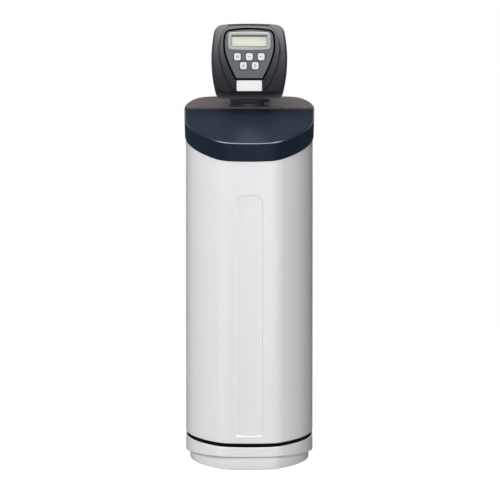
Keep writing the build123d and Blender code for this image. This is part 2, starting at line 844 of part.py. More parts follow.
def head_outline(inset, depth):
    """The head's section at a depth, drawn inside by inset: widest where the chin ends."""
    back_share = depth / head_depth
    face_share = max(chin_back - depth, 0) / chin_depth
    top = head_top_width / 2 - inset - head_taper * back_share - face_rim * face_share
    waist = head_waist_width / 2 - inset - head_taper * back_share - face_rim * face_share
    foot = head_foot_width / 2 - inset - head_taper * back_share
    shoulder_z = head_side_height - inset - head_fall * back_share
    foot_z = inset + chin_height * face_share
    growth = face_corner_growth * face_share
    with BuildSketch() as outline:
        with BuildLine():
            crown = ThreePointArc((-top, shoulder_z), (0, shoulder_z + head_crown), (top, shoulder_z))
            right = ThreePointArc(crown @ 1, (waist, head_waist_height), (foot, foot_z))
            Line(right @ 1, (-foot, foot_z))
            ThreePointArc((-foot, foot_z), (-waist, head_waist_height), crown @ 0)
        make_face()
        fillet(outline.vertices().group_by(Axis.Y)[-1], head_top_corner + growth - inset)
        fillet(outline.vertices().group_by(Axis.Y)[0], head_foot_corner + growth - inset)
    return outline.sketch


def panel_outline(inset):
    """The control panel's outline from the front, drawn parallel by inset."""
    with BuildSketch() as outline:
        with BuildLine():
            ThreePointArc((-panel_top_x, panel_top_z), (0, panel_crown_z), (panel_top_x, panel_top_z))
            for side in (-1, 1):
                ThreePointArc((side * panel_top_x, panel_top_z), (side * panel_corner_x, panel_corner_z),
                              (side * panel_shoulder_x, panel_shoulder_z))
                ThreePointArc((side * panel_shoulder_x, panel_shoulder_z),
                              (side * panel_waist_x, panel_waist_z), (side * panel_flank_x, panel_flank_z))
                ThreePointArc((side * panel_flank_x, panel_flank_z), (side * panel_taper_x, panel_taper_z),
                              (side * panel_foot_x, panel_foot_z))
            Line((-panel_foot_x, panel_foot_z), (panel_foot_x, panel_foot_z))
        make_face()
        if inset:
            offset(amount=-inset, mode=Mode.REPLACE)
    return outline.sketch


def bowed_frame(width, height, bow, corner):
    """A rounded rectangle whose long edges bow outwards, centred on the display."""
    with BuildSketch() as frame:
        with BuildLine():
            top = ThreePointArc((-width / 2, bezel_z + height / 2 - bow), (0, bezel_z + height / 2),
                                (width / 2, bezel_z + height / 2 - bow))
            foot = ThreePointArc((-width / 2, bezel_z - height / 2 + bow), (0, bezel_z - height / 2),
                                 (width / 2, bezel_z - height / 2 + bow))
            Line(top @ 0, foot @ 0)
            Line(top @ 1, foot @ 1)
        make_face()
        fillet(frame.vertices(), corner)
    return frame.sketch


# Buttons: three above, two below
button_places = [
    (-button_pitch, button_upper_z),
    (0, button_upper_z),
    (button_pitch, button_upper_z),
    (-button_pitch / 2, button_lower_z),
    (button_pitch / 2, button_lower_z),
]


def head_hood(inset, front, back, setback=0):
    """The head's falling block between two depths, drawn inside by inset and set back."""
    sections = [depth for depth in (front, chin_back, back) if front <= depth <= back]
    with BuildPart() as hood:
        for depth in sections:
            with BuildSketch(head_plane(depth + setback)):
                add(head_outline(inset, depth))
        loft(ruled=True)
    return hood.part


def head_plate(outline, front, back):
    """A flat plate of an outline in the head, between two depths."""
    with BuildPart() as plate:
        with BuildSketch(head_plane(back)):
            add(outline)
        extrude(amount=back - front)
    return plate.part


def rounded_plate(x, height, width, tall, corner, front, back):
    """A rounded rectangular plate in the head, between two depths."""
    with BuildPart() as plate:
        with BuildSketch(head_plane(back)):
            with Locations((x, height)):
                RectangleRounded(width, tall, corner)
        extrude(amount=back - front)
    return plate.part


def button_openings(front, back):
    """Clearance holes for the five buttons between two depths."""
    with BuildPart() as openings:
        for place in button_places:
            add(rounded_plate(place[0], place[1], button_width + 2 * button_side_gap,
                              button_height + 2 * button_side_gap, button_corner + button_side_gap,
                              front, back))
    return openings.part


# The front cover: a shell open to the back, with a raised shield, a panel pocket and a label seat
inner_front_y = face_setback + head_wall
with BuildPart() as shield:
    with BuildSketch(head_plane(face_setback)) as shield_face:
        with BuildLine():
            ThreePointArc((-shield_top_x, shield_top_z), (0, shield_top_z + head_crown / 2),
                          (shield_top_x, shield_top_z))
            for side in (-1, 1):
                ThreePointArc((side * shield_top_x, shield_top_z),
                              (side * shield_shoulder_x, shield_shoulder_z),
                              (side * shield_waist_x, shield_waist_z))
                ThreePointArc((side * shield_waist_x, shield_waist_z),
                              (side * shield_flank_x, shield_flank_z), (side * shield_foot_x, shield_foot_z))
            Line((-shield_foot_x, shield_foot_z), (shield_foot_x, shield_foot_z))
        make_face()
    extrude(amount=face_setback, taper=shield_draft)
    extrude(shield_face.sketch, amount=-face_edge_radius)
label_rim = head_wall / 2
with BuildPart() as front_cover:
    add(head_hood(0, face_setback, head_depth))
    fillet(front_cover.faces().sort_by(Axis.Y)[0].edges(), face_edge_radius)
    add(shield.part)
    add(rounded_plate(0, label_z, label_width + 2 * label_rim, label_height + 2 * label_rim,
                      label_corner + label_rim, 0, inner_front_y))
    add(head_hood(head_wall, face_setback, head_depth, head_wall), mode=Mode.SUBTRACT)
    add(head_plate(panel_outline(-panel_groove / 2), -overrun, panel_thickness), mode=Mode.SUBTRACT)
    add(rounded_plate(0, label_z, label_width + 2 * slide_gap, label_height + 2 * slide_gap,
                      label_corner + slide_gap, -overrun, label_thickness), mode=Mode.SUBTRACT)
    add(rounded_plate(0, bezel_z, window_width, window_height, window_corner, 0, inner_front_y + overrun),
        mode=Mode.SUBTRACT)
    add(button_openings(0, inner_front_y + overrun), mode=Mode.SUBTRACT)
    split(bisect_by=head_plane(hood_joint), keep=Keep.TOP)

# The slate panel lies in the cover's pocket and carries the bezel
with BuildPart() as control_panel:
    add(head_plate(panel_outline(panel_groove / 2), 0, panel_thickness))
    add(head_plate(bowed_frame(bezel_width + 2 * slide_gap, bezel_height + 2 * slide_gap, bezel_bow,
                               bezel_corner), -overrun, panel_thickness + overrun), mode=Mode.SUBTRACT)
    add(button_openings(-overrun, panel_thickness + overrun), mode=Mode.SUBTRACT)

# The silver bezel holds the window in a ledge at its back
bezel_back = bezel_thickness - bezel_proud
with BuildPart() as display_bezel:
    add(head_plate(bowed_frame(bezel_width, bezel_height, bezel_bow, bezel_corner), -bezel_proud, bezel_back))
    fillet(display_bezel.faces().sort_by(Axis.Y)[0].edges(), bezel_proud / 2)
    add(rounded_plate(0, bezel_z, window_width, window_height, window_corner, -2 * bezel_proud,
                      bezel_back + overrun), mode=Mode.SUBTRACT)
    add(rounded_plate(0, bezel_z, window_width + 2 * window_ledge, window_height + 2 * window_ledge,
                      window_corner, bezel_back - window_thickness, bezel_back + overrun), mode=Mode.SUBTRACT)
with BuildPart() as display_window:
    add(rounded_plate(0, bezel_z, window_width + 2 * window_ledge - slide_gap,
                      window_height + 2 * window_ledge - slide_gap, window_corner,
                      bezel_back - window_thickness, bezel_back))

# The display module stands on the board behind the window
with BuildPart() as display_module:
    add(rounded_plate(0, bezel_z, display_width, display_height, window_corner,
                      inner_front_y + display_gap + glass_step, board_y))
    add(rounded_plate(0, bezel_z, glass_width, glass_height, window_corner, inner_front_y + display_gap,
                      board_y))

# Each button's cap passes through panel and cover, and a flange behind the wall keeps it in
button_back = board_y - switch_height - button_travel - switch_gap
buttons = {}
for number, place in enumerate(button_places, start=1):
    with BuildPart() as button:
        add(rounded_plate(place[0], place[1], button_width, button_height, button_corner, -button_proud,
                          button_back))
        fillet(button.faces().sort_by(Axis.Y)[0].edges(), button_proud / 2)
        add(rounded_plate(place[0], place[1], button_width + 2 * button_flange,
                          button_height + 2 * button_flange, button_corner, inner_front_y + slide_gap,
                          button_back))
    buttons[f"button_{number}"] = button

# The bare label plate
with BuildPart() as label_plate:
    add(rounded_plate(0, label_z, label_width, label_height, label_corner, 0, label_thickness))

# The circuit board with a switch behind each button, and its four screws
board_middle_z = (board_foot_z + board_top_z) / 2
screw_places = [(side * (board_width / 2 - board_screw_inset), height)
                for side in (-1, 1)
                for height in (board_foot_z + board_screw_inset, board_top_z - board_screw_inset)]
board_back_y = board_y + board_thickness
with BuildPart() as circuit_board:
    add(rounded_plate(0, board_middle_z, board_width, board_top_z - board_foot_z, board_corner, board_y,
                      board_back_y))
    for place in button_places:
        add(rounded_plate(place[0], place[1], switch_width, switch_width, switch_width / 8,
                          board_y - switch_height, board_y))
    for place in screw_places:
        add(head_bar(place[0], place[1], screw_hole_radius, board_y - overrun, board_back_y + overrun),
            mode=Mode.SUBTRACT)
with BuildPart() as board_screws:
    for place in screw_places:
        add(head_bar(place[0], place[1], screw_head_radius, board_y - screw_head_height, board_y))
        add(head_bar(place[0], place[1], screw_radius, board_y, board_y + screw_depth))

# Gear train: module and teeth give each centre's place
main_pitch = main_teeth * main_module / 2
second_small_pitch = second_small_teeth * main_module / 2
second_big_pitch = second_big_teeth * train_module / 2
first_small_pitch = first_small_teeth * train_module / 2
first_big_pitch = first_big_teeth * train_module / 2
pinion_pitch = pinion_teeth * train_module / 2


def polar_step(start, angle, distance):
    """The point a distance away from start in a direction."""
    return (start[0] + distance * cos(radians(angle)), start[1] + distance * sin(radians(angle)))


main_centre = (0, barrel_z)
second_centre = polar_step(main_centre, second_gear_angle, main_pitch + second_small_pitch + mesh_play)
first_centre = polar_step(second_centre, first_gear_angle, second_big_pitch + first_small_pitch + mesh_play)
motor_centre = polar_step(first_centre, motor_angle, first_big_pitch + pinion_pitch + mesh_play)


def gear_disc(centre, teeth, module, tooth_angle, front):
    """A spur gear one layer thick with a tooth centred at tooth_angle."""
    pitch = teeth * module / 2
    root = pitch - tooth_foot_share * module
    tip = pitch + tooth_head_share * module
    step = 360 / teeth
    corners = []
    for tooth in range(teeth):
        middle = tooth_angle + tooth * step
        corners.append(polar_step(centre, middle - tooth_root_share * step, root))
        corners.append(polar_step(centre, middle - tooth_tip_share * step, tip))
        corners.append(polar_step(centre, middle + tooth_tip_share * step, tip))
        corners.append(polar_step(centre, middle + tooth_root_share * step, root))
    with BuildPart() as disc:
        with BuildSketch(head_plane(front + gear_thickness)):
            with BuildLine():
                Polyline(*corners, close=True)
            make_face()
        extrude(amount=gear_thickness)
    return disc.part


def gap_angle(direction, teeth):
    """Where a gear has a tooth when a gap of it faces the far gear in a direction."""
    return direction + 180 + 180 / teeth


with BuildPart() as main_gear:
    add(gear_disc(main_centre, main_teeth, main_module, second_gear_angle, rear_layer_y))
    add(head_bar(main_centre[0], main_centre[1], hub_radius, rear_layer_y, hub_end_y))
    add(head_bar(main_centre[0], main_centre[1], rod_radius + running_play, rear_layer_y - overrun,
                 hub_end_y + overrun), mode=Mode.SUBTRACT)
with BuildPart() as second_gear:
    add(gear_disc(second_centre, second_small_teeth, main_module,
                  gap_angle(second_gear_angle, second_small_teeth), rear_layer_y))
    add(gear_disc(second_centre, second_big_teeth, train_module, first_gear_angle, middle_layer_y))
    add(head_bar(second_centre[0], second_centre[1], 2 * gear_boss_radius, middle_layer_y,
                 rear_layer_y + gear_thickness))
    add(head_bar(second_centre[0], second_centre[1], gear_pin_radius + running_play, middle_layer_y - overrun,
                 bracket_y), mode=Mode.SUBTRACT)
with BuildPart() as first_gear:
    add(gear_disc(first_centre, first_small_teeth, train_module,
                  gap_angle(first_gear_angle, first_small_teeth), middle_layer_y))
    add(gear_disc(first_centre, first_big_teeth, train_module, motor_angle, front_layer_y))
    add(head_bar(first_centre[0], first_centre[1], gear_boss_radius, front_layer_y,
                 middle_layer_y + gear_thickness))
    add(head_bar(first_centre[0], first_centre[1], gear_pin_radius + running_play, front_layer_y - overrun,
                 bracket_y), mode=Mode.SUBTRACT)
bracket_back_y = bracket_y + bracket_thickness
motor_back_y = bracket_back_y + motor_length
with BuildPart() as motor_pinion:
    add(gear_disc(motor_centre, pinion_teeth, train_module, gap_angle(motor_angle, pinion_teeth),
                  front_layer_y))
    add(head_bar(motor_centre[0], motor_centre[1], motor_shaft_radius, front_layer_y,
                 bracket_back_y + motor_length / 2))
with BuildPart() as drive_motor:
    add(head_bar(motor_centre[0], motor_centre[1], motor_radius, bracket_back_y, motor_back_y))
    add(head_bar(motor_centre[0], motor_centre[1], motor_collar_radius, bracket_y, bracket_back_y))
    fillet(drive_motor.faces().sort_by(Axis.Y)[-1].edges(), motor_shaft_radius)
    add(head_bar(motor_centre[0], motor_centre[1], motor_shaft_radius + running_play, bracket_y - overrun,
                 bracket_back_y + motor_length / 2), mode=Mode.SUBTRACT)

# The bracket carries board, gears and motor in front of the valve
bracket_top_z = board_top_z + bracket_margin
with BuildPart() as drive_bracket:
    add(rounded_plate(0, (bracket_foot_z + bracket_top_z) / 2, board_width + 2 * bracket_margin,
                      bracket_top_z - bracket_foot_z, board_corner, bracket_y, bracket_back_y))
    for place in screw_places:
        add(head_bar(place[0], place[1], post_radius, board_back_y, bracket_y))
        add(head_bar(place[0], place[1], screw_hole_radius, board_back_y - overrun, bracket_y),
            mode=Mode.SUBTRACT)
    add(head_bar(first_centre[0], first_centre[1], gear_boss_radius,
                 middle_layer_y + gear_thickness + slide_gap, bracket_y))
    add(head_bar(first_centre[0], first_centre[1], gear_pin_radius, front_layer_y, bracket_y))
    add(head_bar(second_centre[0], second_centre[1], gear_boss_radius,
                 rear_layer_y + gear_thickness + slide_gap, bracket_y))
    add(head_bar(second_centre[0], second_centre[1], gear_pin_radius, middle_layer_y, bracket_y))
    add(head_bar(0, barrel_z, hub_radius + slide_gap, bracket_y - overrun, bracket_back_y + overrun),
        mode=Mode.SUBTRACT)
    add(head_bar(motor_centre[0], motor_centre[1], motor_collar_radius, bracket_y - overrun,
                 bracket_back_y + overrun), mode=Mode.SUBTRACT)

# Drive cap, seal stack, piston and rod lie in the valve's barrel
with BuildPart() as drive_cap:
    add(head_bar(0, barrel_z, cap_flange_radius, bracket_back_y, barrel_front_y))
    add(head_bar(0, barrel_z, barrel_bore - stack_play, barrel_front_y, barrel_front_y + cap_plug_length))
    add(head_bar(0, barrel_z, hub_radius + running_play, bracket_back_y - overrun,
                 barrel_front_y + cap_plug_length + overrun), mode=Mode.SUBTRACT)
with BuildPart() as seal_stack:
    add(head_bar(0, barrel_z, barrel_bore - stack_play, stack_front_y, stack_back_y))
    add(head_bar(0, barrel_z, piston_radius + running_play, stack_front_y - overrun, stack_back_y + overrun),
        mode=Mode.SUBTRACT)
    for share in stack_window_shares:
        window_y = head_y + stack_front_y + share * (stack_back_y - stack_front_y)
        with BuildSketch(Plane.XY.offset(head_z + barrel_z - barrel_radius)):
            with Locations((0, window_y)):
                Circle(stack_window_radius)
        extrude(amount=2 * barrel_radius, mode=Mode.SUBTRACT)
with BuildPart() as main_piston:
    add(head_bar(0, barrel_z, piston_radius, piston_front_y, piston_front_y + piston_length))
    for share in piston_groove_shares:
        groove_y = piston_front_y + share * piston_length
        with BuildSketch(head_plane(groove_y + piston_groove)):
            with Locations((0, barrel_z)):
                Circle(piston_radius + overrun)
                Circle(piston_radius - piston_groove, mode=Mode.SUBTRACT)
        extrude(amount=2 * piston_groove, mode=Mode.SUBTRACT)
with BuildPart() as piston_rod:
    add(head_bar(0, barrel_z, rod_radius, rod_front_y, piston_front_y))

# The valve body: neck, core, barrel, two rear ports and the sockets of its small fittings
spigot_foot = -neck_rise - spigot_length
with BuildPart() as valve_body:
    add(head_post(0, head_reach, neck_radius, -neck_rise, 0))
    add(head_post(0, head_reach, core_radius, 0, barrel_z))
    add(head_post(0, head_reach, spigot_radius, spigot_foot, -neck_rise))
    add(head_bar(0, barrel_z, barrel_radius, barrel_front_y, barrel_back_y))
    add(head_bar(0, barrel_z, barrel_flange_radius, barrel_front_y, barrel_front_y + barrel_flange_thickness))
    for side in (-1, 1):
        add(head_bar(side * port_x, barrel_z, port_radius, port_front_y, port_end_y))
    add(rounded_plate(0, barrel_z, 2 * port_x, web_height, board_corner, port_front_y + port_end_wall,
                      barrel_back_y - barrel_end_wall))
    add(head_post(injector_x, injector_y, injector_radius, barrel_z, injector_top_z))
    add(head_post(0, drain_y, drain_socket_radius, barrel_z, drain_socket_top_z))
    add(head_post(0, elbow_y, drain_socket_radius - clip_overhang, barrel_z, drain_socket_top_z))
    add(head_post(port_x, meter_y, meter_boss_radius, barrel_z, meter_top_z))
    add(head_bar(0, barrel_z, barrel_bore, barrel_front_y - overrun, barrel_back_y - barrel_end_wall),
        mode=Mode.SUBTRACT)
    for side in (-1, 1):
        add(head_bar(side * port_x, barrel_z, port_bore, port_front_y + port_end_wall, port_end_y + overrun),
            mode=Mode.SUBTRACT)
    add(head_post(injector_x, injector_y, injector_bore, injector_top_z - nozzle_length,
                  injector_top_z + overrun), mode=Mode.SUBTRACT)
    add(head_post(0, drain_y, drain_bore, barrel_z, drain_socket_top_z + overrun), mode=Mode.SUBTRACT)
    add(head_post(0, elbow_y, line_radius, barrel_z, drain_socket_top_z + overrun), mode=Mode.SUBTRACT)
    add(head_post(port_x, meter_y, meter_plug_radius + slide_gap, barrel_z, meter_top_z + overrun),
        mode=Mode.SUBTRACT)
    add(head_post(0, head_reach, spigot_bore, spigot_foot - overrun, riser_socket_z), mode=Mode.SUBTRACT)
    add(head_post(0, head_reach, riser_radius + running_play, riser_socket_z - overrun,
                  riser_socket_z + riser_depth_in_valve), mode=Mode.SUBTRACT)

# The o-ring seals the valve's neck in a groove over the tank's mouth
with BuildPart() as neck_ring:
    with BuildSketch(Plane.XZ.offset(-axis_y)):
        with Locations((spigot_radius + ring_thickness, tank_top_z + ring_thickness / 2)):
            Circle(ring_thickness / 2)
    revolve(axis=Axis((0, axis_y, 0), (0, 0, 1)))
with BuildPart() as ring_groove:
    add(upright_post(0, axis_y, spigot_radius + 3 * ring_thickness / 2 + slide_gap, tank_top_z - overrun,
                     tank_top_z + ring_thickness + running_play))
    add(upright_post(0, axis_y, spigot_radius + ring_thickness / 2 - slide_gap, tank_top_z - overrun,
                     tank_top_z + ring_thickness + overrun), mode=Mode.SUBTRACT)
with BuildPart() as grooved_valve:
    add(valve_body.part)
    add(ring_groove.part, mode=Mode.SUBTRACT)


def elbow(x, depth, foot, bend, radius, back):
    """A tube that rises from foot, turns at bend and runs back: its outside, or its bore."""
    with BuildPart() as tube:
        add(head_post(x, depth, radius, foot, bend))
        add(head_bar(x, bend, radius, depth, back))
        with Locations((x, head_y + depth, head_z + bend)):
            Sphere(radius)
    return tube.part


# Injector cap, the two elbows and their clips
with BuildPart() as injector_cap:
    add(head_post(injector_x, injector_y, injector_radius + running_play, injector_top_z,
                  injector_top_z + injector_cap_height))
    fillet(injector_cap.faces().sort_by(Axis.Z)[-1].edges(), rod_radius / 4)
    add(head_post(injector_x, injector_y, injector_bore - slide_gap, injector_top_z - nozzle_length / 2,
                  injector_top_z))
elbow_back = head_depth + elbow_tail
drain_shoulder_y = head_depth + drain_shoulder
drain_back = drain_shoulder_y + drain_tail
with BuildPart() as refill_elbow:
    add(elbow(0, elbow_y, drain_socket_top_z, elbow_z, elbow_radius, elbow_back))
    add(head_post(0, elbow_y, drain_socket_radius - clip_overhang, drain_socket_top_z,
                  drain_socket_top_z + clip_thickness))
    add(elbow(0, elbow_y, drain_socket_top_z - overrun, elbow_z, line_bore_radius, elbow_back + overrun),
        mode=Mode.SUBTRACT)
with BuildPart() as drain_elbow:
    add(elbow(0, drain_y, drain_socket_top_z, drain_z, drain_radius, drain_shoulder_y))
    add(head_bar(0, drain_z, drain_tail_radius, drain_shoulder_y, drain_back))
    add(head_post(0, drain_y, drain_socket_radius, drain_socket_top_z, drain_socket_top_z + clip_thickness))
    add(elbow(0, drain_y, drain_socket_top_z - overrun, drain_z, drain_bore, drain_back + overrun),
        mode=Mode.SUBTRACT)
clip_z = head_z + drain_socket_top_z + clip_thickness
with BuildPart() as elbow_clips:
    for place in ((drain_y, drain_radius), (elbow_y, elbow_radius)):
        with BuildSketch(Plane.XY.offset(clip_z)):
            with Locations((0, head_y + place[0])):
                Circle(place[1] + clip_overhang)
                Circle(place[1] + slide_gap, mode=Mode.SUBTRACT)
            with Locations((place[1] + clip_overhang, head_y + place[0])):
                Rectangle(2 * clip_overhang, place[1], mode=Mode.SUBTRACT)
        extrude(amount=clip_thickness)

# Flow meter: a cap whose two arms carry the turbine's shaft in the outlet port
arm_front_y = meter_y - turbine_length / 2 - turbine_end_gap - meter_arm_thickness
arm_back_y = meter_y + turbine_length / 2 + turbine_end_gap
with BuildPart() as meter_cap:
    add(head_post(port_x, meter_y, meter_boss_radius, meter_top_z, meter_top_z + meter_cap_height))
    add(head_post(port_x, meter_y, meter_plug_radius, barrel_z + port_bore + slide_gap, meter_top_z))
    for arm_y in (arm_front_y, arm_back_y):
        arm_foot = barrel_z - 2 * turbine_shaft_radius
        add(rounded_plate(port_x, (arm_foot + meter_top_z) / 2, meter_arm_width, meter_top_z - arm_foot,
                          turbine_shaft_radius, arm_y, arm_y + meter_arm_thickness))
    add(head_bar(port_x, barrel_z, turbine_shaft_radius, arm_front_y, arm_back_y + meter_arm_thickness))
with BuildPart() as meter_turbine:
    add(head_bar(port_x, barrel_z, turbine_hub_radius, meter_y - turbine_length / 2,
                 meter_y + turbine_length / 2))
    with BuildSketch(head_plane(meter_y + turbine_length / 2)):
        with Locations((port_x, barrel_z)):
            with PolarLocations(turbine_radius / 2 + turbine_hub_radius / 4, turbine_blades):
                Rectangle(turbine_radius - turbine_hub_radius / 2, turbine_blade_thickness)
    extrude(amount=turbine_length)
    add(head_bar(port_x, barrel_z, turbine_shaft_radius + running_play, arm_front_y, arm_back_y),
        mode=Mode.SUBTRACT)

# The rear cover continues the hood to a closed back, pierced for ports, elbows and power inlet;
# a slot in its bottom lets it slide on from behind
with BuildPart() as rear_cover:
    add(head_hood(0, hood_joint + hood_seam, head_depth))
    add(head_hood(head_wall, hood_joint, head_depth - plate_thickness), mode=Mode.SUBTRACT)
    for side in (-1, 1):
        add(head_bar(side * port_x, barrel_z, port_radius + slide_gap, port_front_y, head_depth + overrun),
            mode=Mode.SUBTRACT)
    add(head_bar(0, elbow_z, elbow_radius + slide_gap, elbow_y, head_depth + overrun), mode=Mode.SUBTRACT)
    add(head_bar(0, drain_z, drain_radius + slide_gap, drain_y, head_depth + overrun), mode=Mode.SUBTRACT)
    add(head_bar(jack_x, jack_z, jack_radius + running_play, port_front_y, head_depth + overrun),
        mode=Mode.SUBTRACT)
    with BuildSketch(Plane.XY.offset(head_z - overrun)):
        with Locations((0, axis_y)):
            Circle(core_radius + slide_gap)
        with Locations((0, axis_y - core_radius)):
            Rectangle(2 * (core_radius + slide_gap), 2 * core_radius)
    extrude(amount=head_wall + 2 * overrun, mode=Mode.SUBTRACT)
with BuildPart() as power_inlet:
    add(head_bar(jack_x, jack_z, jack_radius, head_depth - jack_length, head_depth))
    add(head_bar(jack_x, jack_z, jack_flange_radius, head_depth, head_depth + jack_flange_thickness))
    add(head_bar(jack_x, jack_z, jack_bore, head_depth - jack_length + jack_flange_thickness,
                 head_depth + jack_flange_thickness + overrun), mode=Mode.SUBTRACT)

# Bypass: two straight ways with a cross way between them, and a turning plug in each
bypass_back_y = port_end_y + bypass_length
bypass_y = port_end_y + bypass_length / 2
housing_foot = barrel_z - rotor_housing_half_height
housing_top = barrel_z + rotor_housing_half_height
with BuildPart() as bypass_body:
    for side in (-1, 1):
        add(head_bar(side * port_x, barrel_z, port_radius, port_end_y, bypass_back_y))
        add(head_post(side * port_x, bypass_y, rotor_housing_radius, housing_foot, housing_top))
    with BuildSketch(Plane.YZ.offset(-port_x)):
        with Locations((head_y + bypass_y, head_z + barrel_z)):
            Circle(bypass_cross_radius)
    extrude(amount=2 * port_x)
    for side in (-1, 1):
        add(head_bar(side * port_x, barrel_z, port_bore, port_end_y - overrun, bypass_back_y + overrun),
            mode=Mode.SUBTRACT)
        add(head_post(side * port_x, bypass_y, rotor_radius + running_play, housing_foot + rotor_floor,
                      housing_top + overrun), mode=Mode.SUBTRACT)


def bypass_lever(side, forwards):
    """A turning plug with an arrow-shaped lever that points forwards (1) or backwards (-1)."""
    lever_z = head_z + housing_top + lever_gap
    tip_y = head_y + bypass_y - forwards * lever_length
    tail_y = head_y + bypass_y + forwards * lever_tail
    neck_y = tip_y + forwards * lever_width / 2
    x = side * port_x
    with BuildPart() as lever:
        add(head_post(x, bypass_y, rotor_radius, housing_foot + rotor_floor, housing_top))
        add(head_post(x, bypass_y, lever_stem_radius, housing_top, housing_top + lever_gap))
        with BuildSketch(Plane.XY.offset(lever_z)):
            with BuildLine():
                Polyline((x, tip_y), (x + lever_width / 2, neck_y), (x + lever_width / 2, tail_y),
                         (x - lever_width / 2, tail_y), (x - lever_width / 2, neck_y), close=True)
            make_face()
        extrude(amount=lever_thickness)
        fillet(lever.faces().sort_by(Axis.Z)[-1].edges(), lever_gap / 2)
        add(head_bar(x, barrel_z, port_bore, bypass_y - rotor_housing_radius,
                     bypass_y + rotor_housing_radius), mode=Mode.SUBTRACT)
    return lever


inlet_lever = bypass_lever(-1, 1)
outlet_lever = bypass_lever(1, -1)

# Threaded pipe fittings and the union nuts that hold them and the bypass
fitting_back_y = bypass_back_y + fitting_length
with BuildPart() as pipe_fittings:
    for side in (-1, 1):
        add(head_bar(side * port_x, barrel_z, port_radius, bypass_back_y, bypass_back_y + nut_length / 2))
        add(head_bar(side * port_x, barrel_z, thread_radius, bypass_back_y, fitting_back_y))
        with BuildSketch(head_plane(bypass_back_y + nut_length / 2 + fitting_hex_length)):
            with Locations((side * port_x, barrel_z)):
                RegularPolygon(fitting_hex_radius, 6)
        extrude(amount=fitting_hex_length)
        add(head_bar(side * port_x, barrel_z, port_bore, bypass_back_y - overrun, fitting_back_y + overrun),
            mode=Mode.SUBTRACT)
with BuildPart() as union_nuts:
    for side in (-1, 1):
        for joint_y in (port_end_y, bypass_back_y):
            with BuildSketch(head_plane(joint_y + nut_length / 2)):
                with Locations((side * port_x, barrel_z)):
                    RegularPolygon(nut_radius, nut_sides)
                    Circle(port_radius + stack_play, mode=Mode.SUBTRACT)
            extrude(amount=nut_length)

# Brine line: from the refill elbow down behind the head, through the deck and round the tank
line_start = (0, head_y + elbow_back, head_z + elbow_z)
side_lane = -cabinet_width / 2 + shell_wall + 4 * line_radius
line_route = [
    line_start,
    (0, line_y, head_z + elbow_z),
    (0, line_y, deck_top_z - 4 * line_radius),
    *[(side_lane * lane, axis_y + tank_radius * back, dome_z + tank_head_dome * rise)
      for lane, back, rise in line_lane_shares],
    (side_lane * line_last_lane_share, tank_front_y, line_entry_z + 4 * line_radius),
    (pickup_x, well_y + well_radius + line_bend, line_entry_z),
    (pickup_x, well_y + valve_seat_radius, line_entry_z),
]


def bend_radii(route):
    """The bend at each inner point of a route: as wide as the shorter run beside it allows."""
    radii = []
    for before, corner, after in zip(route, route[1:], route[2:]):
        run_in = Vector(corner) - Vector(before)
        run_out = Vector(after) - Vector(corner)
        half_turn = radians(run_in.get_angle(run_out) / 2)
        radii.append(bend_share * min(run_in.length, run_out.length) / tan(half_turn))
    return radii


with BuildPart() as brine_line:
    with BuildLine() as line_path:
        FilletPolyline(*line_route, radius=bend_radii(line_route))
    with BuildSketch(Plane(origin=line_start, x_dir=(1, 0, 0), z_dir=(0, 1, 0))):
        Circle(line_radius)
        Circle(line_bore_radius, mode=Mode.SUBTRACT)
    sweep(path=line_path.wires()[0])

# Overflow elbow through the back wall, with its nut inside
wall_back_y = rear_y - shell_wall
with BuildPart() as overflow_elbow:
    with BuildSketch(Plane.XZ.offset(-rear_y - overflow_reach)):
        with Locations((overflow_x, overflow_z)):
            Circle(overflow_radius)
    extrude(amount=overflow_reach + shell_wall + overflow_nut_thickness + overrun)
    with BuildSketch(Plane.XZ.offset(-rear_y - overflow_flange_thickness)):
        with Locations((overflow_x, overflow_z)):
            Circle(overflow_flange_radius)
    extrude(amount=overflow_flange_thickness)
    with Locations((overflow_x, rear_y + overflow_reach, overflow_z)):
        Sphere(overflow_radius)
    add(upright_post(overflow_x, rear_y + overflow_reach, overflow_radius,
                     overflow_z - overflow_drop + overflow_tail, overflow_z))
    add(upright_post(overflow_x, rear_y + overflow_reach, overflow_tail_radius, overflow_z - overflow_drop,
                     overflow_z))
    add(upright_post(overflow_x, rear_y + overflow_reach, overflow_bore, overflow_z - overflow_drop - overrun,
                     overflow_z), mode=Mode.SUBTRACT)
    with BuildSketch(Plane.XZ.offset(-rear_y - overflow_reach)):
        with Locations((overflow_x, overflow_z)):
            Circle(overflow_bore)
    extrude(amount=overflow_reach + shell_wall + overflow_nut_thickness + 2 * overrun, mode=Mode.SUBTRACT)
    with Locations((overflow_x, rear_y + overflow_reach, overflow_z)):
        Sphere(overflow_bore, mode=Mode.SUBTRACT)
with BuildPart() as overflow_nut:
    with BuildSketch(Plane.XZ.offset(-wall_back_y)):
        with Locations((overflow_x, overflow_z)):
            RegularPolygon(overflow_nut_radius, 6)
            Circle(overflow_radius + running_play, mode=Mode.SUBTRACT)
    extrude(amount=overflow_nut_thickness)

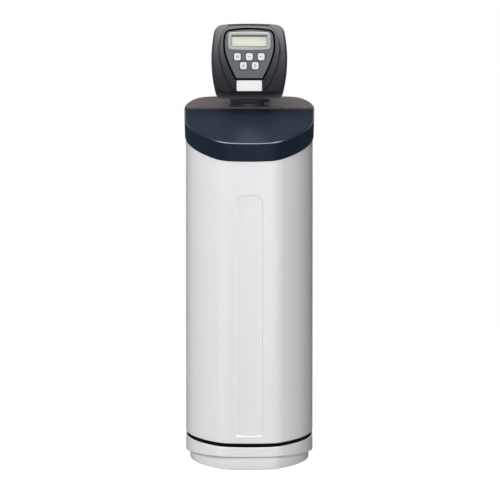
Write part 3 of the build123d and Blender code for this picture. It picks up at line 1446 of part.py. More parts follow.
os.makedirs("parts", exist_ok=True)
pieces = {
    "base_plinth": base_plinth,
    "base_gasket": base_gasket,
    "cabinet_shell": cabinet_shell,
    "salt_lid": salt_lid,
    "rear_deck": rear_deck,
    "lid_hinge_pins": lid_hinge_pins,
    "mineral_tank": mineral_tank,
    "tank_boot": tank_boot,
    "gravel_bed": gravel_bed,
    "resin_bed": resin_bed,
    "riser_tube": riser_tube,
    "lower_basket": lower_basket,
    "upper_basket": upper_basket,
    "salt_grid": salt_grid,
    "brine_well": brine_well,
    "brine_well_cap": brine_well_cap,
    "brine_valve": brine_valve,
    "brine_float": brine_float,
    "float_rod": float_rod,
    "front_cover": front_cover,
    "control_panel": control_panel,
    "display_bezel": display_bezel,
    "display_window": display_window,
    "display_module": display_module,
    **buttons,
    "label_plate": label_plate,
    "circuit_board": circuit_board,
    "board_screws": board_screws,
    "main_gear": main_gear,
    "second_gear": second_gear,
    "first_gear": first_gear,
    "motor_pinion": motor_pinion,
    "drive_motor": drive_motor,
    "drive_bracket": drive_bracket,
    "drive_cap": drive_cap,
    "seal_stack": seal_stack,
    "main_piston": main_piston,
    "piston_rod": piston_rod,
    "valve_body": grooved_valve,
    "neck_ring": neck_ring,
    "injector_cap": injector_cap,
    "refill_elbow": refill_elbow,
    "drain_elbow": drain_elbow,
    "elbow_clips": elbow_clips,
    "meter_cap": meter_cap,
    "meter_turbine": meter_turbine,
    "rear_cover": rear_cover,
    "power_inlet": power_inlet,
    "bypass_body": bypass_body,
    "inlet_lever": inlet_lever,
    "outlet_lever": outlet_lever,
    "pipe_fittings": pipe_fittings,
    "union_nuts": union_nuts,
    "brine_line": brine_line,
    "overflow_elbow": overflow_elbow,
    "overflow_nut": overflow_nut,
}
for name, piece in pieces.items():
    piece.part.label = name
    export_step(piece.part, f"parts/{name}.step")
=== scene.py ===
from math import cos, pi, radians, sin

import bmesh
import bpy
from mathutils import Matrix, Vector


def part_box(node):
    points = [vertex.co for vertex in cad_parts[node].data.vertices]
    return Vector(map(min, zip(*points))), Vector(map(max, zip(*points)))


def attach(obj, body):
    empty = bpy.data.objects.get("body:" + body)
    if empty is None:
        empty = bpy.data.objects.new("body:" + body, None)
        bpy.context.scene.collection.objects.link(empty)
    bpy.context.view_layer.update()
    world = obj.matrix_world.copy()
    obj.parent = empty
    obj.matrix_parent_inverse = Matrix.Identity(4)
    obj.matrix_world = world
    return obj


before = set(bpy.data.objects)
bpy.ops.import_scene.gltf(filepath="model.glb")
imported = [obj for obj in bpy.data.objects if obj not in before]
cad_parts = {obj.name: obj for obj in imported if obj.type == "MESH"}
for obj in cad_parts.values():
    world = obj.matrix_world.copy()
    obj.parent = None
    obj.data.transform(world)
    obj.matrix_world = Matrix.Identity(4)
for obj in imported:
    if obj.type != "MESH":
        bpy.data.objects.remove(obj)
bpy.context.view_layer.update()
scene = bpy.context.scene


# Base plinth: a shallow tray with an inset foot, injection moulded in white polypropylene.
# The shell stands on it over a gasket, so it shows as the band below the black seam.
class Shade:
    """A socket of a finish that sums, products and powers can be written with."""

    def __init__(self, finish, socket):
        self.finish, self.socket = finish, socket

    def maths(self, operation, *terms):
        return self.finish.node("Math", {"operation": operation}, dict(enumerate(terms)))

    def __add__(self, other):
        return self.maths("ADD", self, other)

    def __radd__(self, other):
        return self.maths("ADD", other, self)

    def __sub__(self, other):
        return self.maths("SUBTRACT", self, other)

    def __rsub__(self, other):
        return self.maths("SUBTRACT", other, self)

    def __mul__(self, other):
        return self.maths("MULTIPLY", self, other)

    def __rmul__(self, other):
        return self.maths("MULTIPLY", other, self)

    def __pow__(self, other):
        return self.maths("POWER", self, other)

    def __neg__(self):
        return self.maths("MULTIPLY", self, -1)


class Finish:
    """A surface finish: one Principled shader and the nodes that vary it over the piece."""

    def __init__(self, name, **plain):
        self.material = bpy.data.materials.new(name)
        self.material.use_nodes = True
        self.tree = self.material.node_tree
        self.shader = self.tree.nodes["Principled BSDF"]
        for socket, value in plain.items():
            self.feed(self.shader, socket.replace("_", " "), value)
        self.spot = self.node("TexCoord", out="Object")
        self.x, self.y, self.z = (self.node("SeparateXYZ", {}, {0: self.spot}, axis) for axis in "XYZ")

    def socket(self, group, key):
        if isinstance(key, int):
            return group[key]
        return next(s for s in group if key in (s.identifier, s.name))

    def feed(self, node, key, value):
        target = self.socket(node.inputs, key)
        if isinstance(value, Shade):
            self.tree.links.new(value.socket, target)
        elif hasattr(value, "__len__") and len(value) == 3 and target.type == "RGBA":
            target.default_value = (*value, 1)
        else:
            target.default_value = value

    def node(self, kind, settings=None, sockets=None, out=0):
        """A new node, its settings made before its sockets, as the Shade of one of its outputs."""
        made = self.tree.nodes.new("ShaderNode" + kind)
        for key, value in (settings or {}).items():
            setattr(made, key, value)
        for key, value in (sockets or {}).items():
            self.feed(made, key, value)
        return Shade(self, self.socket(made.outputs, out))

    def noise(self, scale, detail=2, stretch=None):
        """Cloudy noise from 0 to 1 with scale features in a metre, drawn out along an axis by stretch."""
        spot = self.spot
        if stretch:
            spot = self.node("Mapping", {}, {"Vector": spot, "Scale": stretch})
        return self.node("TexNoise", {}, {"Vector": spot, "Scale": scale, "Detail": detail}, "Fac")

    def cells(self, scale):
        """Distance to the nearest of scattered points, scale of them in a metre."""
        return self.node("TexVoronoi", {"feature": "F1"}, {"Vector": self.spot, "Scale": scale}, "Distance")

    def between(self, value, low, high):
        """0 below low, 1 above high, smooth in between."""
        return self.node("MapRange", {"interpolation_type": "SMOOTHSTEP"},
                         {"Value": value, "From Min": low, "From Max": high})

    def mix(self, factor, first, second):
        return self.node("Mix", {"data_type": "RGBA"},
                         {"Factor_Float": factor, "A_Color": first, "B_Color": second}, "Result_Color")

    def bump(self, height, depth):
        """Raises the surface by height, which runs from 0 to 1, times depth in metres."""
        normal = self.node("Bump", {}, {"Height": height, "Distance": depth, "Strength": 1.0}, "Normal")
        self.feed(self.shader, "Normal", normal)

    def set(self, key, value):
        self.feed(self.shader, key, value)


def tint(colour, level):
    """A colour made lighter or darker."""
    return tuple(min(1.0, channel * level) for channel in colour)


def moulded(name, colour, roughness, grain=900, depth=0.00003, **plain):
    """Moulded plastic: a fine grain, slow drifts of colour and spots rubbed smoother."""
    finish = Finish(name, **plain)
    drift = finish.noise(7, 3)
    finish.set("Base Color", finish.mix(drift, tint(colour, 0.93), tint(colour, 1.07)))
    finish.set("Roughness", roughness + 0.16 * (finish.noise(28, 4) - 0.5))
    finish.bump(finish.noise(grain, 2), depth)
    return finish


def dress(finish, *nodes):
    """Gives CAD nodes a finish."""
    for node in nodes:
        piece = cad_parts[node]
        for slot in piece.material_slots:
            slot.material = finish.material


white = (0.79, 0.785, 0.80)
plinth_white = Finish("satin white plinth", Coat_Weight=1.0, Coat_Roughness=0.22)
# The plinth's colour is darker and rougher in noisy patches in its bottom 3 cm, near the floor.
near_floor_darkening = (1 - plinth_white.between(plinth_white.z, 0.0, 0.03)) * plinth_white.noise(60, 5)
plinth_white.set("Base Color", plinth_white.mix(near_floor_darkening * 0.35, white, (0.5, 0.48, 0.45)))
plinth_white.set("Roughness", 0.34 + 0.1 * plinth_white.noise(40, 4) + 0.2 * near_floor_darkening)
plinth_white.bump(plinth_white.noise(320, 3), 0.00006)
dress(plinth_white, "base_plinth")

# Gasket: a moulded black rubber ring pressed into the seam between the plinth and the shell.
# It is a little inset, so the seam reads as a dark line. The neck's o-ring is the same rubber.
rubber = moulded("black rubber", (0.003, 0.003, 0.0035), 0.85, grain=1500, depth=0.00008,
                 Specular_IOR_Level=0.03)
dress(rubber, "base_gasket", "neck_ring")

# Cabinet shell: one blow-moulded white wall, open at both ends, with a shallow panel in front.
# The skin has the faint orange peel and slow waves of blown plastic, and scuffs near the floor.
shell_white = Finish("satin white shell", Coat_Weight=1.0, Coat_Roughness=0.22)
waves = shell_white.noise(5, 2)
peel = shell_white.noise(300, 3)
scuffs = shell_white.between(shell_white.noise(14, 6, (1, 1, 0.25)), 0.62, 0.8)
low_down = 1 - shell_white.between(shell_white.z, 0.07, 0.35)
shell_white.set("Base Color", shell_white.mix(scuffs * low_down * 0.25, white, (0.62, 0.61, 0.6)))
shell_white.set("Roughness", 0.33 + 0.08 * shell_white.noise(30, 4) + 0.15 * scuffs)
shell_white.bump(waves * 0.9 + peel * 0.1, 0.0006)
dress(shell_white, "cabinet_shell")

# Tank boot: a black polypropylene cup in the plinth that keeps the round-bottomed tank upright.
# It is plain moulded stock with a coarse grain.
boot_black = moulded("grained black", (0.03, 0.03, 0.032), 0.6, grain=700, depth=0.0001)
dress(boot_black, "tank_boot")

# Mineral tank: a polyethylene liner wound with glass roving in epoxy, blue-grey under the resin.
# Two sets of helical strands cross over the barrel, with a gloss coat of resin over them.
tank_finish = Finish("wound glass", Coat_Weight=0.4, Coat_Roughness=0.15)
tank_axis_y = 0.109
about = tank_finish.node("Math", {"operation": "ARCTAN2"},
                         {0: tank_finish.y - tank_axis_y, 1: tank_finish.x})
rising = tank_finish.node("Math", {"operation": "SINE"}, {0: about * 40 + tank_finish.z * 900})
falling = tank_finish.node("Math", {"operation": "SINE"}, {0: about * 40 - tank_finish.z * 900})
strands = rising.maths("MAXIMUM", rising, falling) * 0.5 + 0.5
fibre = tank_finish.noise(400, 4)
tank_finish.set("Base Color",
                tank_finish.mix(strands * 0.5 + fibre * 0.3, (0.05, 0.075, 0.12), (0.16, 0.2, 0.27)))
tank_finish.set("Roughness", 0.3 + 0.2 * fibre)
tank_finish.bump(strands * 0.7 + fibre * 0.3, 0.0004)
dress(tank_finish, "mineral_tank")

# Media: washed quartz gravel round the lower basket and amber resin beads above it.
# They fill the tank loosely, so each bed is drawn as packed grains.
for node, size, dark, pale in (("gravel_bed", 350, (0.16, 0.13, 0.1), (0.62, 0.57, 0.5)),
                               ("resin_bed", 1400, (0.2, 0.09, 0.02), (0.6, 0.34, 0.1))):
    grains = Finish(node.replace("_", " "), Roughness=0.55)
    grain_edge = grains.cells(size)
    grains.set("Base Color", grains.mix(grains.noise(size * 0.7, 2) * 0.7 + grain_edge * 0.3, dark, pale))
    grains.bump(1 - grain_edge, 0.6 / size)
    dress(grains, node)

# Riser and baskets: white PVC pipe down the tank's middle, with slotted grey strainers on it.
# The pipe is solvent welded into the lower basket; the upper one clips to the valve.
pipe_white = moulded("white pipe", (0.74, 0.74, 0.72), 0.42, grain=500, depth=0.00002)
strainer_grey = moulded("strainer grey", (0.28, 0.29, 0.3), 0.5)
dress(pipe_white, "riser_tube")
dress(strainer_grey, "lower_basket", "upper_basket")

# Salt grid: a drilled white platform on three legs in front of the tank, with salt dust on it.
# The brine well passes through its corner.
grid_white = moulded("salt grid white", (0.76, 0.76, 0.74), 0.5, grain=600, depth=0.00005)
salt_dust = grid_white.between(grid_white.noise(90, 6), 0.5, 0.7)
grid_white.set("Roughness", 0.45 + 0.35 * salt_dust)
grid_white.set("Base Color", grid_white.mix(salt_dust * 0.6, (0.72, 0.72, 0.7), (0.88, 0.87, 0.85)))
dress(grid_white, "salt_grid")

# Brine well: an extruded white tube with slots at its foot and a lift-off cap.
# Extrusion leaves faint upright lines, and brine leaves a tide mark in its lower half.
well_white = Finish("brine well white", Specular_IOR_Level=0.4)
draw_lines = well_white.noise(240, 2, (1, 1, 0.01))
tide = 1 - well_white.between(well_white.z, 0.34, 0.42)
well_white.set("Base Color",
               well_white.mix(tide * 0.3 + draw_lines * 0.1, (0.76, 0.76, 0.75), (0.62, 0.6, 0.54)))
well_white.set("Roughness", 0.4 + 0.2 * tide)
well_white.bump(draw_lines, 0.00008)
dress(well_white, "brine_well")
dress(moulded("well cap white", (0.77, 0.77, 0.76), 0.36, grain=400), "brine_well_cap")

# Brine valve: a grey pickup tube with a guide arm, and a foam float on a plain white rod.
# The float closes the valve when the brine reaches it.
foam = Finish("float foam", Roughness=0.85)
foam_cells = foam.cells(900)
foam.set("Base Color", foam.mix(foam_cells, (0.5, 0.47, 0.4), (0.78, 0.75, 0.68)))
foam.bump(foam_cells, 0.0005)
dress(strainer_grey, "brine_valve")
dress(foam, "brine_float")
dress(pipe_white, "float_rod")

# Control valve body: glass-filled black polyphenylene, moulded in one with its ports and sockets.
# Glass fibres leave a dull, slightly flecked skin; flow marks cloud it near the gates.
valve_black = Finish("glass filled black", Specular_IOR_Level=0.4)
flecks = valve_black.noise(1100, 3, (1, 0.4, 1))
flow = valve_black.noise(18, 4)
valve_black.set("Base Color",
                valve_black.mix(flow * 0.6 + flecks * 0.4, (0.012, 0.012, 0.014), (0.04, 0.04, 0.043)))
valve_black.set("Roughness", 0.38 + 0.22 * flow)
valve_black.bump(flecks, 0.00005)
dress(valve_black, "valve_body", "injector_cap", "drain_elbow", "meter_cap", "bypass_body")


def finish_piece(name, bm, finish, body, smooth=35):
    """Makes a modelled mesh into a piece that rides on a body, its edges sharp past an angle."""
    bmesh.ops.remove_doubles(bm, verts=bm.verts, dist=0.000001)
    bmesh.ops.recalc_face_normals(bm, faces=bm.faces)
    for face in bm.faces:
        face.smooth = True
    for edge in bm.edges:
        edge.smooth = len(edge.link_faces) == 2 and edge.calc_face_angle(0) < radians(smooth)
    mesh = bpy.data.meshes.new(name)
    bm.to_mesh(mesh)
    bm.free()
    mesh.materials.append(finish.material)
    piece = bpy.data.objects.new(name, mesh)
    scene.collection.objects.link(piece)
    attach(piece, body)


def turned(bm, profile, centre, axis, steps=64):
    """Turns a profile of (radius, place along the axis) points once round an axis through centre."""
    axis = Vector(axis)
    side = axis.orthogonal().normalized()
    centre = Vector(centre)
    points = [bm.verts.new(centre + side * radius + axis * place) for radius, place in profile]
    edges = [bm.edges.new(pair) for pair in zip(points, points[1:])]
    bmesh.ops.spin(bm, geom=points + edges, cent=centre, axis=axis, angle=2 * pi, steps=steps, use_merge=True)


def bar(bm, low, high, round_off=0.0):
    """A box between two corners with its edges rounded."""
    low, high = Vector(low), Vector(high)
    made = bmesh.ops.create_cube(bm, size=1, matrix=Matrix.Translation((low + high) / 2)
                                 @ Matrix.Diagonal((*(high - low), 1)))
    if round_off:
        edges = {edge for vert in made["verts"] for edge in vert.link_edges}
        bmesh.ops.bevel(bm, geom=list(edges), offset=round_off, segments=2, affect="EDGES",
                        profile=0.5, material=-1)


# Neck collar: a ribbed black ring moulded on the valve's neck, by which it is screwed to the tank.
# A steel spring clip with a pinch screw at the right front stops it from turning back.
neck_low = Vector((0, tank_axis_y, 0.912))
collar_bore, collar_tall, rib_count = 0.0471, 0.0165, 24
collar = bmesh.new()
turned(collar, [(collar_bore, 0.0), (0.0495, 0.0), (0.0512, 0.0018), (0.0518, 0.004), (0.0518, 0.0105),
                (0.0508, 0.0135), (0.0488, collar_tall), (collar_bore, collar_tall), (collar_bore, 0.0)],
       neck_low, (0, 0, 1), 96)
for step in range(rib_count):
    turn = Matrix.Rotation(2 * pi * step / rib_count, 4, "Z")
    place = Matrix.Translation(neck_low) @ turn @ Matrix.Translation((0.0515, 0, 0.0072))
    rib = bmesh.ops.create_cube(collar, size=1, matrix=place @ Matrix.Diagonal((0.0024, 0.0042, 0.0066, 1)))
    edges = {edge for vert in rib["verts"] for edge in vert.link_edges}
    bmesh.ops.bevel(collar, geom=list(edges), offset=0.0007, segments=2, affect="EDGES",
                    profile=0.5, material=-1)
finish_piece("neck_collar", collar, valve_black, "cabinet")
zinc = Finish("zinc plate", Metallic=1.0)
zinc_bloom = zinc.noise(120, 5)
zinc.set("Base Color", zinc.mix(zinc_bloom, (0.42, 0.42, 0.41), (0.7, 0.7, 0.68)))
zinc.set("Roughness", 0.22 + 0.25 * zinc_bloom)
zinc.bump(zinc.noise(900, 2, (1, 1, 0.1)), 0.00002)
clip = bmesh.new()
turned(clip, [(0.0473, 0.0), (0.0482, 0.0), (0.0482, 0.0035), (0.0473, 0.0035), (0.0473, 0.0)],
       neck_low - Vector((0, 0, 0.0055)), (0, 0, 1), 96)
lug_turn = Matrix.Translation(neck_low) @ Matrix.Rotation(radians(-32), 4, "Z")
lug = bmesh.new()
bar(lug, (0.0475, -0.004, -0.0062), (0.0535, 0.004, -0.0012), 0.0006)
turned(lug, [(0.0, 0.0), (0.0021, 0.0), (0.0026, 0.0005), (0.0026, 0.0016), (0.0021, 0.0021), (0.0, 0.0021)],
       (0.0508, -0.0061, -0.0037), (0, 1, 0), 20)
bmesh.ops.transform(lug, matrix=lug_turn, verts=lug.verts)
spring_steel = Finish("blued spring steel", Metallic=1.0)
spring_steel.set("Base Color",
                 spring_steel.mix(spring_steel.noise(90, 4), (0.05, 0.05, 0.055), (0.12, 0.12, 0.125)))
spring_steel.set("Roughness", 0.3 + 0.15 * spring_steel.noise(140, 3))
finish_piece("neck_clip", clip, spring_steel, "cabinet")
finish_piece("neck_clip_screw", lug, zinc, "cabinet")

# Piston group: a coated white piston on a steel rod, in a stack of grey spacers and seals.
# The drive cap closes the barrel in front of them.
dress(moulded("coated piston", (0.66, 0.66, 0.6), 0.25, grain=300, depth=0.00001), "main_piston")
dress(zinc, "piston_rod", "lid_hinge_pins", "board_screws")
dress(moulded("spacer grey", (0.3, 0.31, 0.33), 0.45), "seal_stack")
dress(boot_black, "drive_cap", "drive_bracket")

# Gear train: natural acetal gears with a waxy skin, a brass pinion and a plated can motor.
# Grease darkens the roots of the teeth a little.
acetal = Finish("natural acetal", Subsurface_Weight=0.08, Subsurface_Radius=(0.002, 0.002, 0.0015))
grease = acetal.between(acetal.noise(220, 4), 0.45, 0.75)
acetal.set("Base Color", acetal.mix(grease * 0.4, (0.76, 0.74, 0.66), (0.6, 0.55, 0.42)))
acetal.set("Roughness", 0.42 - 0.22 * grease)
acetal.bump(acetal.noise(700, 2), 0.00003)
dress(acetal, "main_gear", "second_gear", "first_gear", "meter_turbine")
brass = Finish("turned brass", Metallic=1.0)
tarnish = brass.noise(70, 5)
brass.set("Base Color", brass.mix(tarnish, (0.5, 0.33, 0.12), (0.75, 0.55, 0.24)))
brass.set("Roughness", 0.2 + 0.25 * tarnish)
brass.bump(brass.noise(60, 2, (1, 60, 1)), 0.00004)
dress(brass, "motor_pinion", "pipe_fittings")
motor_can = Finish("plated can", Metallic=1.0, Base_Color=(0.5, 0.5, 0.49, 1))
motor_can.set("Roughness", 0.3 + 0.2 * motor_can.noise(90, 4))
motor_can.bump(motor_can.noise(40, 2, (1, 40, 1)), 0.00003)
dress(motor_can, "drive_motor")

# Circuit board: green glass epoxy with its chips, capacitors, relay and plugs soldered on the front.
# It hangs on four posts of the bracket, behind the cover, with the display above the switches.
board_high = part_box("circuit_board")[1]
board_green = Finish("solder resist", Specular_IOR_Level=0.5)
tracks = board_green.node("TexBrick", {},
                          {"Vector": board_green.spot, "Scale": 160.0, "Mortar Size": 0.06}, "Fac")
board_green.set("Base Color", board_green.mix(tracks * 0.6, (0.012, 0.09, 0.03), (0.03, 0.2, 0.07)))
board_green.set("Roughness", 0.3 + 0.15 * board_green.noise(60, 3))
board_green.bump(tracks, 0.00004)
dress(board_green, "circuit_board")
board_thick, edge_round = 0.0016, 0.0004
board_face = board_high.y - board_thick
chip_black = moulded("chip epoxy", (0.02, 0.02, 0.022), 0.5, grain=2000, depth=0.00002)
chips = bmesh.new()
for x, z, wide, tall, thick in ((-0.052, 1.02, 0.014, 0.014, 0.002), (-0.03, 1.002, 0.009, 0.006, 0.0018),
                                (0.052, 1.012, 0.01, 0.007, 0.0018), (0.056, 1.036, 0.018, 0.014, 0.009),
                                (-0.058, 1.052, 0.012, 0.006, 0.0018), (0.03, 0.998, 0.007, 0.005, 0.0016)):
    bar(chips, (x - wide / 2, board_face - thick, z - tall / 2),
        (x + wide / 2, board_face, z + tall / 2), edge_round)
finish_piece("board_chips", chips, chip_black, "cabinet")
cans = bmesh.new()
for x, z, radius, tall in ((-0.062, 0.998, 0.004, 0.009), (-0.047, 0.996, 0.003, 0.008),
                           (0.064, 0.998, 0.004, 0.009)):
    turned(cans, [(0, 0), (radius, 0), (radius, 0.0012), (radius * 0.92, 0.0016), (radius, 0.002),
                  (radius, tall - 0.0006), (radius * 0.9, tall), (0, tall)],
           (x, board_face, z), (0, -1, 0), 24)
finish_piece("board_capacitors", cans, zinc, "cabinet")
plug_cream = moulded("plug nylon", (0.7, 0.67, 0.56), 0.45, grain=1200, depth=0.00002)
plug_reach, plug_low_z, plug_high_z = 0.006, 0.9935, 0.9985
plugs = bmesh.new()
for x, wide in ((-0.02, 0.01), (0.012, 0.014)):
    bar(plugs, (x - wide / 2, board_face - plug_reach, plug_low_z),
        (x + wide / 2, board_face, plug_high_z), edge_round)
finish_piece("board_plugs", plugs, plug_cream, "cabinet")

# Elbows and clips: white moulded elbows, the overflow's nut, and red clips that hold the head's elbows.
# The elbows turn in their sockets, so each has a smooth skin.
clip_red = moulded("signal red", (0.42, 0.03, 0.022), 0.35, grain=500, depth=0.00002)
dress(pipe_white, "refill_elbow", "overflow_elbow", "overflow_nut")
dress(clip_red, "elbow_clips")

# Rear cover and power inlet: a grained charcoal hood that closes the head round the ports.
# Four self-tapping screws through its back hold it to the valve.
plate_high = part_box("rear_cover")[1]
rear_charcoal = moulded("dull charcoal", (0.024, 0.0245, 0.028), 0.68, grain=1300, depth=0.00008,
                        Specular_IOR_Level=0.12)
dress(rear_charcoal, "rear_cover")
dress(boot_black, "power_inlet")


def screw_head(bm, centre, radius, axis, tall=0.0016):
    """A pan-headed screw: a domed disc with a thin cross on it, standing on centre."""
    dome = bmesh.new()
    turned(dome, [(radius, 0), (radius, tall * 0.5), (radius * 0.8, tall * 0.85),
                  (radius * 0.4, tall), (0, tall)], (0, 0, 0), (0, 0, 1), 24)
    for turn in (0, pi / 2):
        cross_bar = (Matrix.Rotation(turn, 4, "Z") @ Matrix.Translation((0, 0, tall))
                     @ Matrix.Diagonal((radius * 1.1, radius * 0.22, tall * 0.1, 1)))
        bmesh.ops.create_cube(dome, size=1, matrix=cross_bar)
    turn = Vector((0, 0, 1)).rotation_difference(Vector(axis)).to_matrix().to_4x4()
    bmesh.ops.transform(dome, matrix=Matrix.Translation(centre) @ turn, verts=dome.verts)
    spare = bpy.data.meshes.new("spare")
    dome.to_mesh(spare)
    dome.free()
    bm.from_mesh(spare)
    bpy.data.meshes.remove(spare)


plate_screws = bmesh.new()
for x, z in ((-0.062, 1.078), (0.062, 1.078), (-0.074, 0.985), (0.074, 0.985)):
    screw_head(plate_screws, (x, plate_high.y, z), 0.0032, (0, 1, 0))
finish_piece("rear_cover_screws", plate_screws, zinc, "cabinet", smooth=50)

# Bypass and pipe fittings: black glass-filled body and nuts, red levers, brass threaded tails.
# The nuts are ribbed for the hand, and the levers point along the flow.
lever_red = moulded("lever red", (0.4, 0.028, 0.02), 0.4, grain=600, depth=0.00003)
dress(lever_red, "inlet_lever", "outlet_lever")
dress(valve_black, "union_nuts")

# Brine line: a thin milky polyethylene tube pushed into the refill elbow and the brine valve.
# It runs down behind the head, through the deck and round the tank, held by its two ends.
line_milky = Finish("milky tube", Subsurface_Weight=0.15, Subsurface_Radius=(0.003, 0.003, 0.003))
line_milky.set("Base Color", line_milky.mix(line_milky.noise(30, 3), (0.66, 0.68, 0.7), (0.8, 0.82, 0.84)))
line_milky.set("Roughness", 0.3 + 0.15 * line_milky.noise(80, 3))
dress(line_milky, "brine_line")

# Rear deck: a grained black cap over the tank's end of the cabinet, moulded in brown-black plastic.
# It carries the hinge's ears and is pierced for the valve's neck and the brine line.
deck_black = Finish("grained brown black", Specular_IOR_Level=0.55)
grain = deck_black.cells(1100)
worn = deck_black.between(deck_black.noise(22, 5), 0.5, 0.8)
deck_black.set("Base Color",
               deck_black.mix(worn * 0.5 + grain * 0.3, (0.05, 0.041, 0.043), (0.088, 0.072, 0.075)))
deck_black.set("Roughness", 0.56 - 0.08 * worn)
deck_black.bump(grain, 0.00012)
dress(deck_black, "rear_deck")

# Salt lid: a moulded navy-black hood that lifts on two pins at the crease.
# Its top is soft satin with fine wiping marks, and its rounded edge is polished.
lid_navy = Finish("navy gloss", Specular_IOR_Level=0.17, Coat_Roughness=0.16)
facing_up = lid_navy.node("SeparateXYZ", {}, {0: lid_navy.node("TexCoord", out="Normal")}, "Z")
rounded_edge = lid_navy.between(facing_up, 0.12, 0.35) * (1 - lid_navy.between(facing_up, 0.86, 0.94))
lid_navy.set("Coat Weight", rounded_edge * 0.7)
wiped = lid_navy.noise(60, 5, (1, 0.12, 1))
smears = lid_navy.between(lid_navy.noise(9, 4), 0.45, 0.75)
lid_navy.set("Base Color", lid_navy.mix(smears * 0.5, (0.0095, 0.0142, 0.0235), (0.012, 0.0172, 0.0275)))
lid_navy.set("Roughness", 0.34 + 0.03 * smears + 0.02 * wiped)
lid_navy.bump(lid_navy.noise(6, 2) * 0.97 + lid_navy.noise(330, 2) * 0.03, 0.0003)
dress(lid_navy, "salt_lid")

# Head cover: a charcoal hood with a raised shield in front, pulled off forwards for service.
# Its face is slightly crowned, so light from above greys its shoulders and fades towards the chin.
face_middle = 1.03
cover_charcoal = Finish("grained charcoal", Specular_IOR_Level=0.5)
crown = -((cover_charcoal.z - face_middle) ** 2.0 + cover_charcoal.x * cover_charcoal.x * 0.35)
front_only = 1 - cover_charcoal.between(cover_charcoal.y, 0.0, 0.02)
skin = cover_charcoal.noise(1300, 2)
handled = cover_charcoal.between(cover_charcoal.noise(26, 5), 0.55, 0.8)
cover_charcoal.set("Base Color",
                   cover_charcoal.mix(handled * 0.4, (0.02, 0.0205, 0.024), (0.03, 0.031, 0.0345)))
cover_charcoal.set("Roughness", 0.42 - 0.06 * handled)
crown_depth, skin_depth = 1.9, 0.00003
cover_charcoal.bump(crown * front_only * crown_depth + skin * skin_depth, 1.0)
dress(cover_charcoal, "front_cover")

# Control panel and label: a slate plate glued in the cover's pocket, and a bare white plate below.
# A thin black strip on the floor of the groove round the slate is painted shade, and the white plate is
# gloss-laminated and blank.
slate = Finish("slate panel", Specular_IOR_Level=0.45)
slate_grain = slate.noise(1600, 2)
# Painted light: the slate's colour is made lighter towards its top, as if lit from above.
painted_top_light = slate.between(slate.z, 0.985, 1.115)
slate.set("Base Color",
          slate.mix(painted_top_light * 0.8 + slate.noise(12, 3) * 0.2, (0.085, 0.095, 0.1), (0.12, 0.135, 0.142)))
slate.set("Roughness", 0.5 + 0.08 * slate.noise(40, 3))
slate.bump(slate_grain, 0.00003)
dress(slate, "control_panel")
# A near-black finish that hardly reflects, for the strip of painted shade in the groove.
groove_shade_black = Finish("painted groove shade", Specular_IOR_Level=0.02)
groove_shade_black.set("Base Color",
               groove_shade_black.mix(groove_shade_black.noise(900, 2), (0.0015, 0.0015, 0.0018), (0.004, 0.004, 0.0045)))
groove_shade_black.set("Roughness", 0.9 + 0.05 * groove_shade_black.noise(300, 2))


def through(first, middle, last, steps=10):
    """Points along the arc through three points."""
    (ax, az), (bx, bz), (cx, cz) = first, middle, last
    turn = 2 * (ax * (bz - cz) + bx * (cz - az) + cx * (az - bz))
    squares = [x * x + z * z for x, z in (first, middle, last)]
    hub_x = (squares[0] * (bz - cz) + squares[1] * (cz - az) + squares[2] * (az - bz)) / turn
    hub_z = (squares[0] * (cx - bx) + squares[1] * (ax - cx) + squares[2] * (bx - ax)) / turn
    hub = Vector((hub_x, hub_z))
    start = Vector(first) - hub
    sweep = start.angle_signed(Vector(last) - hub)
    return [hub + Matrix.Rotation(-sweep * step / steps, 2) @ start for step in range(steps)]


# The groove's right half, in x and height above the head's foot, with an arc from corner to corner.
top_middle, top_right, side_high, side_low, chin_right = (
    (0.0, 0.186), (0.05, 0.182), (0.0635, 0.166), (0.061, 0.115), (0.035, 0.0545))
right = [Vector(top_middle)] + through(top_middle, (0.0252, 0.185), top_right)[1:]
for arc in ((top_right, (0.06, 0.176), side_high), (side_high, (0.0654, 0.143), side_low),
            (side_low, (0.0505, 0.086), chin_right)):
    right += through(*arc)
right.append(Vector(chin_right))
outline = right + [Vector((-spot.x, spot.y)) for spot in reversed(right[1:])]
# The strip of painted shade: a thin black band along the groove's floor, standing in for the groove's shadow.
head_foot_z, groove_floor_y, shade_strip_half_width = 0.931, -0.0067, 0.00265
gasket = bmesh.new()
rings = []
for shift in (-shade_strip_half_width, shade_strip_half_width):
    ring = []
    for before, here, after in zip(outline[-1:] + outline[:-1], outline, outline[1:] + outline[:1]):
        lead, trail = (here - before).normalized(), (after - here).normalized()
        out = Vector((-(lead + trail).y, (lead + trail).x)).normalized()
        spot = here + out * shift / max(out.dot(Vector((-lead.y, lead.x))), 0.5)
        ring.append(gasket.verts.new((spot.x, groove_floor_y, head_foot_z + spot.y)))
    rings.append(ring)
for step in range(len(outline)):
    gasket.faces.new([rings[0][step - 1], rings[0][step], rings[1][step], rings[1][step - 1]])
bmesh.ops.solidify(gasket, geom=gasket.faces[:], thickness=0.0001)
finish_piece("panel_groove_shade", gasket, groove_shade_black, "head_cover")
label_white = Finish("laminated white", Coat_Weight=0.3, Coat_Roughness=0.1)
label_white.set("Base Color", label_white.mix(label_white.noise(40, 3), (0.84, 0.84, 0.85), (0.9, 0.9, 0.9)))
label_white.set("Roughness", 0.3 + 0.05 * label_white.noise(200, 2))
label_white.bump(label_white.noise(500, 2), 0.00001)
dress(label_white, "label_plate")
